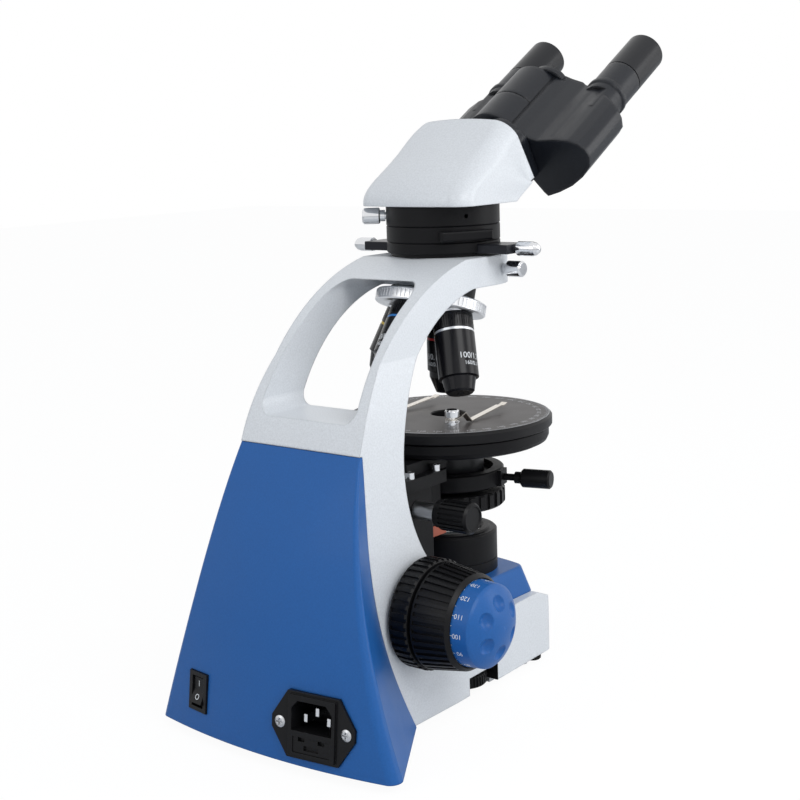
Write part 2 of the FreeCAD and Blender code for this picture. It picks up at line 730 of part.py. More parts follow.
INLET_PINS = ((-7.0, 3.0), (0.0, 7.0), (7.0, 3.0))
feature("mains_inlet", mains_inlet())
feature("inlet_pins", group([at_inlet(box(x - 1.0, x + 1.0, -15.0, -1.0, z - 2.0, z + 2.0)) for x,
                             z in INLET_PINS]))


def inlet_screws():
    solids = []
    for side in (-1, 1):
        spot = side * screw_pitch.value / 2
        head = Part.makeCone(3.1, 1.5, 1.6, Vector(spot, flange_thick.value, 0), Vector(0, -1, 0))
        dome = Part.makeCone(3.1, 2.0, 0.7, Vector(spot, flange_thick.value, 0), Vector(0, 1, 0))
        shank = rod(1.5, (spot, flange_thick.value - 1.6, 0), (spot, -4, 0))
        slot = box(spot - 1.9, spot + 1.9, flange_thick - 0.5, 6, -0.35, 0.35).fuse(
            box(spot - 0.35, spot + 0.35, flange_thick - 0.5, 6, -1.9, 1.9))
        solids.append(at_inlet(head.fuse(dome).fuse(shank).cut(slot)))
    return group(solids)


feature("inlet_screws", inlet_screws())


def fuse_drawer():
    body = box(-drawer_half, drawer_half, -18.0, flange_thick + 1.0, drawer_low, drawer_high)
    for side in (-1, 1):
        body = body.cut(box(side * 6.0 - 2.0, side * 6.0 + 2.0, flange_thick - 0.6, 8, drawer_high - 2.2,
                            drawer_high + 1))
    body = body.cut(box(-4.5, 4.5, flange_thick - 0.2, 8, drawer_low + 1.5, drawer_low + 4.0))
    body = body.cut(box(-drawer_half + 2, drawer_half - 2, -16.0, -2.0, drawer_low + 2, drawer_high + 1))
    return at_inlet(body)


feature("fuse_drawer", fuse_drawer())


def switch_frame():
    wide, high = switch_half_wide, switch_half_high
    body = box(-wide, wide, 0.05, 2.0, -high, high)
    body = body.fuse(box(-wide + 1.5, wide - 1.5, -12.0, 0.05, -high + 1.5, high - 1.5))
    body = body.cut(box(-wide + 2.6, wide - 2.6, -8.5, 4.0, -high + 2.2, high - 2.2))
    return at_switch(body.cut(rod(0.85, (-7.0, -2.0, 0), (7.0, -2.0, 0))))


feature("switch_frame", switch_frame())
rocker_tip = cell("rocker_tip", 2.2)
rocker_throw = cell("rocker_throw", 9.0)
rocker_pivot = Vector(0, -2.0, 0)


def switch_rocker():
    wide, high = switch_half_wide.value - 2.9, switch_half_high.value - 2.6
    tip = rocker_tip.value
    points = [Vector(0, -4.0, -2.5), Vector(0, -0.3, -high), Vector(0, tip, -high + 1.0),
              Vector(0, tip - 1.2, 0),
              Vector(0, tip, high - 1.0), Vector(0, -0.3, high), Vector(0, -4.0, 2.5)]
    body = Part.Face(Part.makePolygon(points + [points[0]])).extrude(Vector(2 * wide, 0, 0))
    body = body.translated(Vector(-wide, 0, 0)).fuse(rod(0.8, (-wide - 1.0, -2.0, 0), (wide + 1.0, -2.0, 0)))
    body.rotate(rocker_pivot, Vector(1, 0, 0), rocker_throw.value)
    return at_switch(body)


feature("switch_rocker", switch_rocker())

# Lamp dimmer: a thumbwheel that lies in a slot of the base, on a pin cast with it
dimmer_thick = cell("dimmer_thick", 6.5)
wheel = turned("dimmer_wheel", [
    (dimmer_pin + fit, dimmer_low), (dimmer_radius - 0.8, dimmer_low), (dimmer_radius, dimmer_low + 0.8),
    (dimmer_radius, dimmer_low + dimmer_thick - 0.8), (dimmer_radius - 0.8, dimmer_low + dimmer_thick),
    (dimmer_pin + fit, dimmer_low + dimmer_thick),
])
ribs(wheel, "dimmer_wheel", dimmer_radius, 0.7, 0.9, dimmer_low - 0.1, dimmer_low + dimmer_thick + 0.1, 40)
place(wheel, -dimmer_x, dimmer_y, 0.0)

# Coaxial focus drive on both sides
ring_radius = cell("tension_ring_radius", 29.4)
knob_radius = cell("coarse_knob_radius", 28.3)
knob_slim = cell("coarse_knob_end_radius", 25.3)
fine_radius = cell("fine_knob_radius", 22.8)
knob_split = cell("knob_split", 58.0)
knob_end = cell("coarse_knob_end", 81.0)
fine_start = cell("fine_knob_start", 79.0)
fine_rim = cell("fine_knob_rim", 90.0)
fine_end = cell("fine_knob_end", 98.0)
KNOB_RIBS = 40
SIDES = ((-1, FACE_MINUS_X, "near"), (1, FACE_X, "far"))

bushes = []
for direction, facing, side in SIDES:
    tube = rod(bush_radius, (direction * 34.0, knob_y, knob_z), (direction * 57.0, knob_y, knob_z))
    collar = rod(bush_radius + 4, (direction * 44.5, knob_y, knob_z), (direction * 45.7, knob_y, knob_z))
    bore = rod(coarse_shaft_radius + fit, (direction * 30.0, knob_y, knob_z),
               (direction * 60.0, knob_y, knob_z))
    bushes.append(tube.fuse(collar).cut(bore))
feature("focus_bushes", group(bushes))

for direction, facing, side in SIDES:
    ring = turned("tension_ring_" + side, [
        (bush_radius + fit, knob_start), (ring_radius - 1.0, knob_start), (ring_radius, knob_start + 1.0),
        (ring_radius, knob_split - 1.4), (ring_radius - 1.2, knob_split - 0.5),
        (bush_radius + fit, knob_split - 0.5),
    ])
    ribs(ring, "tension_ring_" + side, ring_radius, 0.9, 2.2, knob_start + 1.6, knob_split, KNOB_RIBS)
    place(ring, 0, knob_y, knob_z, facing)


def coarse_knob(direction, facing):
    body = revolved([
        (coarse_shaft_radius, knob_split), (knob_radius - 1.8, knob_split),
        (knob_radius - 1.8, knob_split + 1.0),
        (knob_radius, knob_split + 1.8), (knob_slim, knob_end - 2.0), (knob_slim - 1.8, knob_end),
        (fine_radius + air, knob_end), (fine_radius + air, fine_start - air),
        (coarse_shaft_radius, fine_start - air)])
    slope = math.atan2(knob_radius.value - knob_slim.value, knob_end.value - 2.0 - knob_split.value - 1.8)
    grooves = []
    for i in range(KNOB_RIBS):
        groove = box(-1.2, 3.0, -1.1, 1.1, 0, knob_end - 2.2 - knob_split - 2.6)
        groove.rotate(Vector(0, 0, 0), Vector(0, 1, 0), -math.degrees(slope))
        groove.translate(Vector(knob_radius.value - 0.1, 0, knob_split.value + 2.6))
        groove.rotate(Vector(0, 0, 0), Vector(0, 0, 1), i * 360.0 / KNOB_RIBS)
        grooves.append(groove)
    body = body.cut(grooves)
    body.Placement = Placement(Vector(0, knob_y.value, knob_z.value), facing)
    return body


feature("coarse_knobs", group([coarse_knob(direction, facing) for direction, facing, side in SIDES]))
coarse = turned("coarse_shaft", [
    (fine_shaft_radius + fit, -fine_start + air), (coarse_shaft_radius, -fine_start + air),
    (coarse_shaft_radius, -rack_half),
    (pinion_radius, -rack_half), (pinion_radius, rack_half), (coarse_shaft_radius, rack_half),
    (coarse_shaft_radius, fine_start - air), (fine_shaft_radius + fit, fine_start - air),
])
ribs(coarse, "coarse_shaft", pinion_radius, 1.3, 1.2, -rack_half - 0.1, rack_half + 0.1, 18)
place(coarse, 0, knob_y, knob_z, FACE_X)

dimple_ring = cell("dimple_ring_radius", 14.5)
dimple_radius = cell("dimple_radius", 6.0)
DIMPLES = 6


def fine_knob(direction):
    """Graduated ring with a domed cap that has finger dimples."""
    end, rim, start = fine_end.value, fine_rim.value, fine_start.value
    wide = fine_radius.value
    edge = wide - 2.1
    rise = end - rim - 1.2
    dome = (edge ** 2 + rise ** 2) / (2 * rise)
    body = revolved([(0, start), (wide, start), (wide - 0.9, rim), (edge, rim + 1.2), (edge, end + 1),
                     (0, end + 1)])
    body = body.common(Part.makeSphere(dome, Vector(0, 0, end - dome)))
    for i in range(DIMPLES):
        angle = 2 * math.pi * i / DIMPLES
        spot = Vector(dimple_ring.value * math.cos(angle), dimple_ring.value * math.sin(angle), end + 0.9)
        body = body.cut(Part.makeSphere(dimple_radius.value, spot))
    body.Placement = Placement(Vector(0, knob_y.value, knob_z.value),
                               FACE_MINUS_X if direction < 0 else FACE_X)
    return body


fine_rod = rod(fine_shaft_radius, (-fine_start - 6.0, knob_y, knob_z), (fine_start + 6.0, knob_y, knob_z))
feature("fine_knobs", fine_rod.fuse([fine_knob(direction) for direction, facing, side in SIDES]))

# Column: fixed guide on the arm, carriage in front of it, rack at the carriage's back
tongue_half = cell("dovetail_half_width", 10.0)
tongue_deep = cell("dovetail_depth", 7.0)
tongue_flare = cell("dovetail_flare", 2.5)
guide_half = cell("guide_half_width", 12.6)
guide_low = cell("guide_low", 61.8)
guide_top = cell("guide_top", 122.4)
carriage_low = cell("carriage_low", 75.3)
carriage_top = cell("carriage_top", 129.7)
web_half = cell("rack_slot_half_width", 4.5)
rack_low = cell("rack_low", 56.0)
rack_top = cell("rack_top", 104.0)
rack_face = cell("rack_face", 81.0)


def dovetail(gap, low, high):
    """The dovetail's outline seen from above, grown by a gap and drawn between two levels."""
    face, deep = slide_face.value, tongue_deep.value + gap
    slim, wide = tongue_half.value + gap, tongue_half.value + tongue_flare.value + gap
    points = [Vector(-slim, face + 1.0, low), Vector(-slim, face, low), Vector(-wide, face - deep, low),
              Vector(wide, face - deep, low), Vector(slim, face, low), Vector(slim, face + 1.0, low)]
    return Part.Face(Part.makePolygon(points + [points[0]])).extrude(Vector(0, 0, high - low))


def focus_guide():
    block = box(-guide_half, guide_half, slide_face, 110, guide_low, guide_top)
    block = block.fuse(dovetail(0.0, guide_low.value, guide_top.value))
    block = block.cut(casting_raw)
    block = block.cut(box(-rack_half - 5, rack_half + 5, 70, 120, 40, 118))
    block = block.cut(box(-web_half, web_half, 40, 80, 60, rack_top + lift_up + 1.5))
    return max(block.Solids, key=lambda solid: solid.Volume)


feature("focus_guide", focus_guide())

# Condenser drive in the carriage
drive_y = cell("condenser_drive_depth", 58.0)
drive_z = cell("condenser_drive_height", 111.5)
drive_shaft = cell("condenser_drive_shaft_radius", 5.0)
drive_bore = cell("condenser_drive_bore_radius", 3.0)
drive_pinion = cell("condenser_pinion_radius", 4.6)
drive_knob = cell("condenser_knob_radius", 8.6)
key_half = cell("condenser_key_half_width", 5.0)


def stage_carriage():
    body = box(-column_half, column_half, column_front, slide_face - air, carriage_low, carriage_top)
    edges = [edge for edge in body.Edges if abs(edge.BoundBox.XLength) < 0.1 and edge.BoundBox.YLength < 0.1
             and edge.BoundBox.YMin < column_front.value + 1]
    body = body.makeFillet(2.5, edges)
    body = body.cut(dovetail(seat.value, 50, 150))
    body = body.cut(box(-key_half - seat, key_half + seat, 40, 47 + seat, 86, 150))
    body = body.cut(box(-17.6, -12.8, 30, 64, 88, 124))
    return body.cut(rod(drive_bore + fit, (-30, drive_y, drive_z), (-16, drive_y, drive_z)))


feature("stage_carriage", stage_carriage())


def toothed(x_low, x_high, y_low, y_face, low, high, pitch, deep):
    """A rack: a bar with square gaps between its teeth on the +Y face."""
    body = box(x_low, x_high, y_low, y_face, low, high)
    level = low + pitch * 0.5
    while level + pitch * 0.5 < high:
        body = body.cut(box(x_low - 1, x_high + 1, y_face - deep, y_face + 1, level, level + pitch * 0.45))
        level += pitch
    return body


def focus_rack():
    back = slide_face.value - tongue_deep.value - seat.value
    body = toothed(-rack_half.value, rack_half.value, rack_face.value - 5, rack_face.value, rack_low.value,
                   rack_top.value, 2.4, 1.3)
    return body.fuse(box(-rack_half, rack_half, back, rack_face - 4.5, rack_top - 24, rack_top))


feature("focus_rack", focus_rack())

# Stage
hub_radius = cell("stage_hub_radius", 32.0)
hub_bore = cell("stage_hub_bore", 22.0)
hub_low = cell("stage_hub_low", 139.0)
disc_low = stage_top - plate_thick
ring_top = disc_low - air
ring_low = ring_top - base_ring_thick
bracket_low = cell("bracket_low", 124.0)
bracket_high = cell("bracket_shelf", 131.0)
bracket_half = cell("bracket_half_width", 26.0)
yoke_rear = cell("bracket_rear", 76.0)
CAP_SCREWS = [(-23.2, 44.0), (-23.2, 67.0), (23.2, 44.0), (23.2, 67.0)]
cap_radius = cell("cap_screw_radius", 2.6)


def stage_bracket():
    shelf = box(-column_half, column_half, 30, slide_face - air, carriage_top, ring_low)
    body = shelf.fuse(box(-15, 15, 22, 31, carriage_top, ring_low))
    for side in (-1, 1):
        low, high = sorted((side * (column_half.value + 0.3), side * bracket_half.value))
        body = body.fuse(box(low, high, 38, yoke_rear, bracket_low, bracket_high))
        inner = sorted((side * (column_half.value - 1.0), side * (column_half.value + 0.4)))
        body = body.fuse(box(inner[0], inner[1], 38, slide_face - air, carriage_top, bracket_high))
    body = body.cut(rod(26.0, (0, 0, 100), (0, 0, 150)))
    for x, y in CAP_SCREWS:
        body = body.cut(rod(1.55, (x, y, bracket_high - 5), (x, y, bracket_high + 2)))
    return body


feature("stage_bracket", stage_bracket())


def cap_screws():
    solids = []
    for x, y in CAP_SCREWS:
        head = rod(cap_radius, (x, y, bracket_high), (x, y, bracket_high + 3.6))
        socket = rod(1.3, (x, y, bracket_high + 1.6), (x, y, bracket_high + 5))
        solids.append(head.fuse(rod(1.5, (x, y, bracket_high - 5), (x, y, bracket_high))).cut(socket))
    return group(solids)


feature("bracket_screws", cap_screws())

stage_ring = turned("stage_ring", [
    (hub_radius + fit, ring_low), (stage_radius - base_ring_inset - 3.5, ring_low),
    (stage_radius - base_ring_inset - 1.0, ring_low + 1.2),
    (stage_radius - base_ring_inset, ring_low + 3.4), (stage_radius - base_ring_inset, ring_top - 0.8),
    (stage_radius - base_ring_inset - 0.8, ring_top), (hub_radius + fit, ring_top),
])
place(stage_ring)
stage_disc = turned("stage_disc", [
    (stage_hole, disc_low), (hub_bore, disc_low), (hub_bore, hub_low), (hub_radius, hub_low),
    (hub_radius, disc_low),
    (stage_radius - 0.5, disc_low), (stage_radius, disc_low + 0.5), (stage_radius, stage_top - 1.4),
    (stage_radius - 1.4, stage_top), (stage_hole + 0.6, stage_top), (stage_hole, stage_top - 0.6),
])
CLIPS = [(-28.0, 34.0), (28.0, 34.0)]
clip_pin = cell("clip_pin_radius", 1.5)
for index, (x, y) in enumerate(CLIPS):
    hole = new_sketch(stage_disc, "XY_Plane", "clip_hole_%d" % index)
    circle(hole, clip_pin + 0.01, x, y)
    hole.AttachmentOffset = Placement(Vector(0, 0, stage_top.value - 5), Rotation())
    drill = stage_disc.newObject("PartDesign::Pocket", "clip_drill_%d" % index)
    drill.Profile = hole
    drill.Type = 0
    drill.Length = 6.0
    drill.Reversed = True
    stage_disc.Tip = drill
place(stage_disc)


def clip_post(x, y):
    low = stage_top.value
    body = rod(clip_pin, (x, y, low - 4.8), (x, y, low + 10.4))
    for bottom, top, radius in ((0.0, 3.6, 4.2), (6.4, 9.6, 4.0)):
        body = body.fuse(rod(radius, (x, y, low + bottom), (x, y, low + top)))
    cap = Part.makeCone(4.0, 3.2, 0.9, Vector(x, y, low + 9.6))
    return body.fuse(cap)


def clip_blade(x, y, tip_x, tip_y):
    """Spring blade: level at its post, bent down to the slide, and turned up at the tip."""
    low = stage_top.value
    reach = math.hypot(tip_x - x, tip_y - y)
    half = 1.9
    heights = [(-4.0, 4.6), (5.5, 4.6), (11.5, 6.4), (18.0, 0.6), (reach - 4.5, 3.6), (reach - 2.0, 3.1),
               (reach + 2.0, 4.1)]
    thick = 0.7
    upper = [Vector(t, -half, low + z + thick) for t, z in heights]
    lower = [Vector(t, -half, low + z) for t, z in reversed(heights)]
    body = Part.Face(Part.makePolygon(upper + lower + [upper[0]])).extrude(Vector(0, 2 * half, 0))
    body = body.fuse(rod(3.6, (0, 0, low + 4.6), (0, 0, low + 4.6 + thick)))
    body = body.cut(rod(clip_pin + fit, (0, 0, low), (0, 0, low + 20)))
    body.rotate(Vector(0, 0, 0), Vector(0, 0, 1), math.degrees(math.atan2(tip_y - y, tip_x - x)))
    return body.translated(Vector(x, y, 0))


feature("clip_posts", group([clip_post(x, y) for x, y in CLIPS]))
feature("stage_clip_near", clip_blade(-28.0, 34.0, -24.0, -21.0))
feature("stage_clip_far", clip_blade(28.0, 34.0, 26.0, -22.0))

# Condenser
carrier_low = cell("carrier_low", 112.8)
carrier_top = cell("carrier_top", 122.5)
carrier_radius = cell("carrier_radius", 31.5)
carrier_bore = cell("carrier_bore", 20.0)
condenser_top = cell("condenser_top", 144.0)
polarizer_low = cell("polarizer_low", 100.6)
polarizer_top = cell("polarizer_top", 110.0)
polarizer_radius = cell("polarizer_radius", 32.0)
CLAMP_AZIMUTH = 195.0


def azimuth(radius, height, degrees=CLAMP_AZIMUTH):
    angle = math.radians(degrees)
    return Vector(radius * math.cos(angle), radius * math.sin(angle), height)


def condenser_carrier():
    low, high = carrier_low.value, carrier_top.value
    body = rod(carrier_radius, (0, 0, low), (0, 0, high))
    body = body.makeChamfer(0.8, [edge for edge in body.Edges if edge.BoundBox.ZLength < 0.1])
    body = body.fuse(box(-13, 13, 24, column_front - air, low - 6, high))
    body = body.fuse(box(-key_half, key_half, column_front - 1, 47, low - 6, high))
    rack = toothed(-17.0, -13.4, column_front.value - 4, drive_y.value - drive_pinion.value - 0.3, low - 6,
                   high - 1, 2.0, 1.0)
    body = body.fuse(rack).fuse(box(-17.0, -9, 32, column_front - air, low - 6, high - 1))
    body = body.cut(rod(carrier_bore + seat, (0, 0, low - 8), (0, 0, high + 1)))
    body = body.cut(rod(25.4, (0, 0, high - 3.5), (0, 0, high + 1)))
    body = body.cut(rod(polarizer_radius + 1.0, (0, 0, low - 8), (0, 0, low)))
    boss = box(carrier_radius - 3.5, carrier_radius + 2.0, -5, 5, low + 0.4, high - 0.4)
    boss.rotate(Vector(0, 0, 0), Vector(0, 0, 1), CLAMP_AZIMUTH)
    level = (low + high) / 2
    return body.fuse(boss).cut(rod(1.6, azimuth(18, level), azimuth(40, level)))


feature("condenser_carrier", condenser_carrier())
condenser = turned("condenser_tube", [
    (13.0, polarizer_top - 8.0), (16.0, polarizer_top - 8.0), (16.0, polarizer_top + 0.4),
    (carrier_bore, polarizer_top + 0.4),
    (carrier_bore, 137.0), (15.0, 137.6), (15.0, condenser_top), (12.0, condenser_top),
    (12.0, condenser_top - 2.0),
    (13.0, condenser_top - 2.0),
])
place(condenser)
polarizer = turned("polarizer_ring", [
    (16.0 + fit, polarizer_low), (polarizer_radius - 1.2, polarizer_low),
    (polarizer_radius, polarizer_low + 1.2),
    (polarizer_radius, polarizer_top - 1.0), (polarizer_radius - 1.0, polarizer_top),
    (16.0 + fit, polarizer_top),
])
ribs(polarizer, "polarizer_ring", polarizer_radius + 0.6, 1.7, 3.4, polarizer_low - 0.1,
     polarizer_top + 0.1, 30)
place(polarizer)


def condenser_clamp():
    level = (carrier_low.value + carrier_top.value) / 2
    body = rod(1.55, azimuth(21, level), azimuth(42, level))
    body = body.fuse(rod(2.0, azimuth(carrier_radius + 2.3, level), azimuth(41, level)))
    body = body.fuse(rod(3.4, azimuth(40.5, level), azimuth(45, level)))
    grip = rod(5.4, azimuth(44.5, level), azimuth(62, level))
    grip = grip.makeChamfer(0.9, [edge for edge in grip.Edges if len(edge.Vertexes) == 1])
    return body.fuse(grip)


feature("condenser_clamp", condenser_clamp())

shaft = turned("condenser_drive_shaft", [
    (0.0, 13.0), (drive_pinion, 13.0), (drive_pinion, 17.3), (drive_bore, 17.3),
    (drive_bore, column_half + air),
    (drive_shaft, column_half + air), (drive_shaft, 36.0), (0.0, 36.0),
])
ribs(shaft, "condenser_drive_shaft", drive_pinion, 1.0, 1.0, 12.9, 17.4, 14)
place(shaft, 0, drive_y, drive_z, FACE_MINUS_X)
small_knob = turned("condenser_knob", [
    (0.0, 36.0), (drive_knob - 1.0, 36.0), (drive_knob - 1.0, 39.0), (drive_knob, 39.6), (drive_knob, 57.0),
    (drive_knob - 1.2, 58.4), (drive_knob - 2.0, 58.4), (drive_knob - 2.4, 57.8), (0.0, 57.8),
])
ribs(small_knob, "condenser_knob", drive_knob, 0.7, 1.1, 40.4, 57.0, 20)
place(small_knob, 0, drive_y, drive_z, FACE_MINUS_X)

# Nosepiece: its axis leans, so that each objective in turn hangs straight down.
# The objectives' axes all meet at one apex.
apex = cell("apex_height", 260.9)
NOSE_LEAN = 18.0
nose_up = Vector(0, -math.sin(math.radians(NOSE_LEAN)), math.cos(math.radians(NOSE_LEAN)))
nose_turn = Rotation(Vector(1, 0, 0), NOSE_LEAN)
ring_drop = cell("turret_drop", 44.0)
turret_radius = cell("turret_radius", 31.5)
turret_half = cell("turret_half_thickness", 3.5)
shoulder = cell("objective_shoulder", 53.2)
spigot_radius = cell("objective_spigot_radius", 10.1)
spigot_length = cell("objective_spigot_length", 4.8)
objective_radius = cell("objective_radius", 11.25)
stud_radius = cell("turret_stud_radius", 4.0)
base_radius = cell("nosepiece_base_radius", 24.0)


def at_apex(shape, turn=Rotation()):
    """Move a shape drawn about the apex, with +Z up the nosepiece's axis, to its place."""
    moved = shape.copy()
    moved.Placement = Placement(Vector(0, 0, apex.value), turn).multiply(moved.Placement)
    return moved


def objective_turn(quarter):
    """Attitude of an objective a number of quarter turns from the working one, which hangs along -Z."""
    return Rotation(nose_up, 90.0 * quarter)


def leaning(shape):
    return at_apex(shape, nose_turn)


def turret():
    drop = ring_drop.value
    half = turret_half.value
    body = leaning(revolved([
        (stud_radius + fit, -drop + half), (turret_radius - 0.8, -drop + half),
        (turret_radius, -drop + half - 0.8),
        (turret_radius, -drop - half + 0.8), (turret_radius - 0.8, -drop - half),
        (turret_radius - 5.5, -drop - half),
        (6.0, -drop - 9.7), (stud_radius + fit, -drop - 9.7)]))
    for quarter in range(4):
        turn = objective_turn(quarter)
        body = body.fuse(at_apex(rod(objective_radius, (0, 0, -44), (0, 0, -shoulder)), turn))
    for quarter in range(4):
        turn = objective_turn(quarter)
        body = body.cut(at_apex(rod(spigot_radius + seat, (0, 0, -shoulder + spigot_length + 0.6),
                                    (0, 0, -70)), turn))
        body = body.cut(at_apex(rod(7.0, (0, 0, -30), (0, 0, -shoulder)), turn))
        body = body.cut(at_apex(rod(objective_radius + seat, (0, 0, -shoulder), (0, 0, -70)), turn))
    above = leaning(rod(60, (0, 0, -drop + half), (0, 0, -drop + half + 40)))
    body = body.cut(above).cut(leaning(rod(stud_radius + fit, (0, 0, -80), (0, 0, -20))))
    grooves = []
    for i in range(72):
        groove = box(turret_radius - 0.5, turret_radius + 2, -0.6, 0.6, -drop - half + 1.2,
                     -drop + half - 1.2)
        groove.rotate(Vector(0, 0, 0), Vector(0, 0, 1), 5.0 * i)
        grooves.append(leaning(groove))
    return body.cut(grooves)


feature("nosepiece_turret", turret())


def nosepiece_base():
    drop = ring_drop.value
    half = turret_half.value
    body = leaning(rod(base_radius, (0, 0, -drop + half + 0.8), (0, 0, 20)))
    body = body.common(box(-60, 60, -60, 28, 180, nose_under))
    body = body.cut(rod(light_bore, (0, 0, 180), (0, 0, 260))).cut(casting_raw)
    stud = leaning(rod(stud_radius, (0, 0, -drop - 10.0), (0, 0, -drop + half + 1.0)))
    head = leaning(revolved([(0, -drop - 11.8), (4.4, -drop - 11.8), (5.2, -drop - 11.0),
                             (5.2, -drop - 10.0), (0, -drop - 10.0)]))
    body = max(body.Solids, key=lambda solid: solid.Volume)
    return body.fuse(stud).fuse(head).cut(leaning(box(-6, 6, -0.5, 0.5, -drop - 14, -drop - 11.2)))


feature("nosepiece_base", nosepiece_base())

# Each objective: name, quarter turns, length below the shoulder, its nose as (radius, distance
# from the tip) pairs, and the radius of its front glass
OBJECTIVES = [
    ("objective_4x", 0, 41.3, [(11.25, 13.0), (10.2, 12.4), (10.2, 9.0), (6.6, 0.0)], 5.0),
    ("objective_10x", 1, 38.0, [(11.25, 11.0), (10.0, 10.4), (7.6, 2.4), (5.6, 0.0)], 3.6),
    ("objective_40x", 2, 44.5, [(11.25, 13.2), (10.0, 12.4), (10.0, 10.0), (4.4, 0.0)], 2.4),
    ("objective_100x", 3, 44.8, [(11.25, 8.6), (9.5, 8.0), (8.0, 1.0), (7.0, 0.0)], 2.2),
]
collar_length = cell("objective_collar", 9.0)
for name, quarter, length, nose, glass in OBJECTIVES:
    start = shoulder - spigot_length
    tip = shoulder + length
    outline = [(5.5, -start), (spigot_radius, -start), (spigot_radius, -shoulder),
               (objective_radius - 0.6, -shoulder),
               (objective_radius, -shoulder - 0.6), (objective_radius, -shoulder - collar_length),
               (objective_radius - 0.7, -shoulder - collar_length - 0.4),
               (objective_radius - 0.7, -shoulder - collar_length - 1.4),
               (objective_radius, -shoulder - collar_length - 1.8)]
    outline += [(radius, -tip + back) for radius, back in nose]
    outline += [(glass, -tip), (glass - 0.8, -tip + 0.9), (0.0, -tip + 0.7), (0.0, -tip + 4.0),
                (5.5, -tip + 10.0)]
    objective = turned(name, outline)
    ribs(objective, name, objective_radius, 0.4, 0.5, -shoulder - collar_length + 1.2, -shoulder - 1.2, 48)
    place(objective, 0, 0, apex, objective_turn(quarter))

# Analyzer housing, slider and head mount stacked on the arm
stack_radius = cell("stack_radius", 32.2)
slider_low = cell("slider_low", 247.6)
slider_thick = cell("slider_thick", 5.0)
slider_half = cell("slider_half_width", 10.0)
slider_reach = cell("slider_reach", 50.0)
slider_travel = cell("slider_travel", 17.0)
slider_knob = cell("slider_knob_radius", 4.0)
middle_low = cell("middle_ring_low", 254.0)
mount_low = cell("mount_ring_low", 263.0)
mount_high = cell("mount_ring_high", 274.0)
spigot = cell("head_spigot_radius", 21.0)


def stack_ring(low, high, bore, foot=None):
    """One ring of the stack, with broken edges and, if asked, a narrower foot."""
    low, high, wide = float(low), float(high), stack_radius.value
    points = [(bore, low)]
    if foot:
        points += [(foot, low), (foot, low + 2.0), (wide - 0.5, low + 2.0), (wide, low + 2.5)]
    else:
        points += [(wide - 0.5, low), (wide, low + 0.5)]
    points += [(wide, high - 0.5), (wide - 0.5, high), (bore, high)]
    return revolved(points)


def analyzer_housing():
    body = stack_ring(arm_top, middle_low, 13.0, 30.0)
    return body.cut(box(-40, 40, -slider_half - seat, slider_half + seat, slider_low - seat,
                        slider_low + slider_thick + seat))


feature("analyzer_housing", analyzer_housing())


def analyzer_slider():
    body = box(-slider_reach, slider_reach, -slider_half, slider_half, slider_low, slider_low + slider_thick)
    body = body.makeChamfer(0.5, [edge for edge in body.Edges if edge.BoundBox.XLength > 50])
    for step in (-1, 0, 1):
        body = body.cut(rod(7.4, (step * slider_travel, 0, 240), (step * slider_travel, 0, 260)))
    return body


feature("analyzer_slider", analyzer_slider())
level = slider_low + slider_thick / 2


def slider_knobs():
    solids = []
    for direction, facing, side in SIDES:
        knob = revolved([(0, slider_reach), (2.4, slider_reach), (2.4, slider_reach + 1.0),
                         (slider_knob - 0.5, slider_reach + 1.0),
                         (slider_knob, slider_reach + 1.5), (slider_knob, slider_reach + 10.5),
                         (slider_knob - 0.5, slider_reach + 12.6),
                         (slider_knob - 1.6, slider_reach + 14.2), (0, slider_reach + 15.0)])
        knob.Placement = Placement(Vector(0, 0, level.value), facing)
        solids.append(knob)
    return group(solids)


feature("slider_knobs", slider_knobs())


def compensator_ring():
    body = stack_ring(middle_low, mount_low, 13.0)
    slot = box(0, 40, -11.0, 11.0, 256.0, 260.0)
    slot.rotate(Vector(0, 0, 0), Vector(0, 0, 1), 149.0)
    return body.cut(slot)


feature("compensator_ring", compensator_ring())


def slot_cover():
    body = box(31.0, stack_radius + 3.0, -15.5, 15.5, 255.2, 260.8)
    body = body.makeFillet(1.2, [edge for edge in body.Edges if edge.BoundBox.XMin > 34])
    body = body.cut(rod(stack_radius, (0, 0, 250), (0, 0, 270)))
    plug = box(24.0, 33.0, -10.9, 10.9, 256.1, 259.9)
    body = body.fuse(plug)
    body.rotate(Vector(0, 0, 0), Vector(0, 0, 1), 149.0)
    return body


feature("slot_cover", slot_cover())


def head_mount():
    body = stack_ring(mount_low, mount_high, 13.0)
    body = body.cut(rod(spigot + fit, (0, 0, mount_low + 1.2), (0, 0, 280)))
    body = body.cut(rod(2.0 + fit, azimuth(15, 268.5, 36.0), azimuth(40, 268.5, 36.0)))
    return body.cut(rod(1.2, azimuth(28, 268.5, 150.0), azimuth(40, 268.5, 150.0)))


feature("head_mount_ring", head_mount())


def thumbscrew(start, direction, stem, neck, grip, stem_from):
    """A clamp screw: stem inside its thread, neck, then a round grip that starts a little off the surface."""
    body = revolved([(0, -stem_from), (stem, -stem_from), (stem, 0.5), (neck, 0.5), (neck, 3.4),
                     (grip - 0.6, 3.4), (grip, 4.0),
                     (grip, 12.4), (grip - 1.0, 13.4), (0, 13.4)])
    facing = Rotation(Vector(0, 0, 1), direction)
    body.Placement = Placement(start, facing)
    return body


feature("head_clamp", thumbscrew(azimuth(stack_radius.value, 268.5, 36.0), azimuth(1, 0, 36.0), 2.0, 3.2,
                                 4.6, 10.6))
feature("arm_clamp", thumbscrew(Vector(-35.4, arm_clamp_y.value, arm_clamp_z.value), Vector(-1, 0, 0),
                                clamp_stem.value, 3.0, 4.5, 10.0))

# Binocular head, drawn in a frame of its own: x across, y square to the eyepiece tubes, z along them
head_turn = Rotation(Vector(1, 0, 0), 90.0 - tube_angle.value)


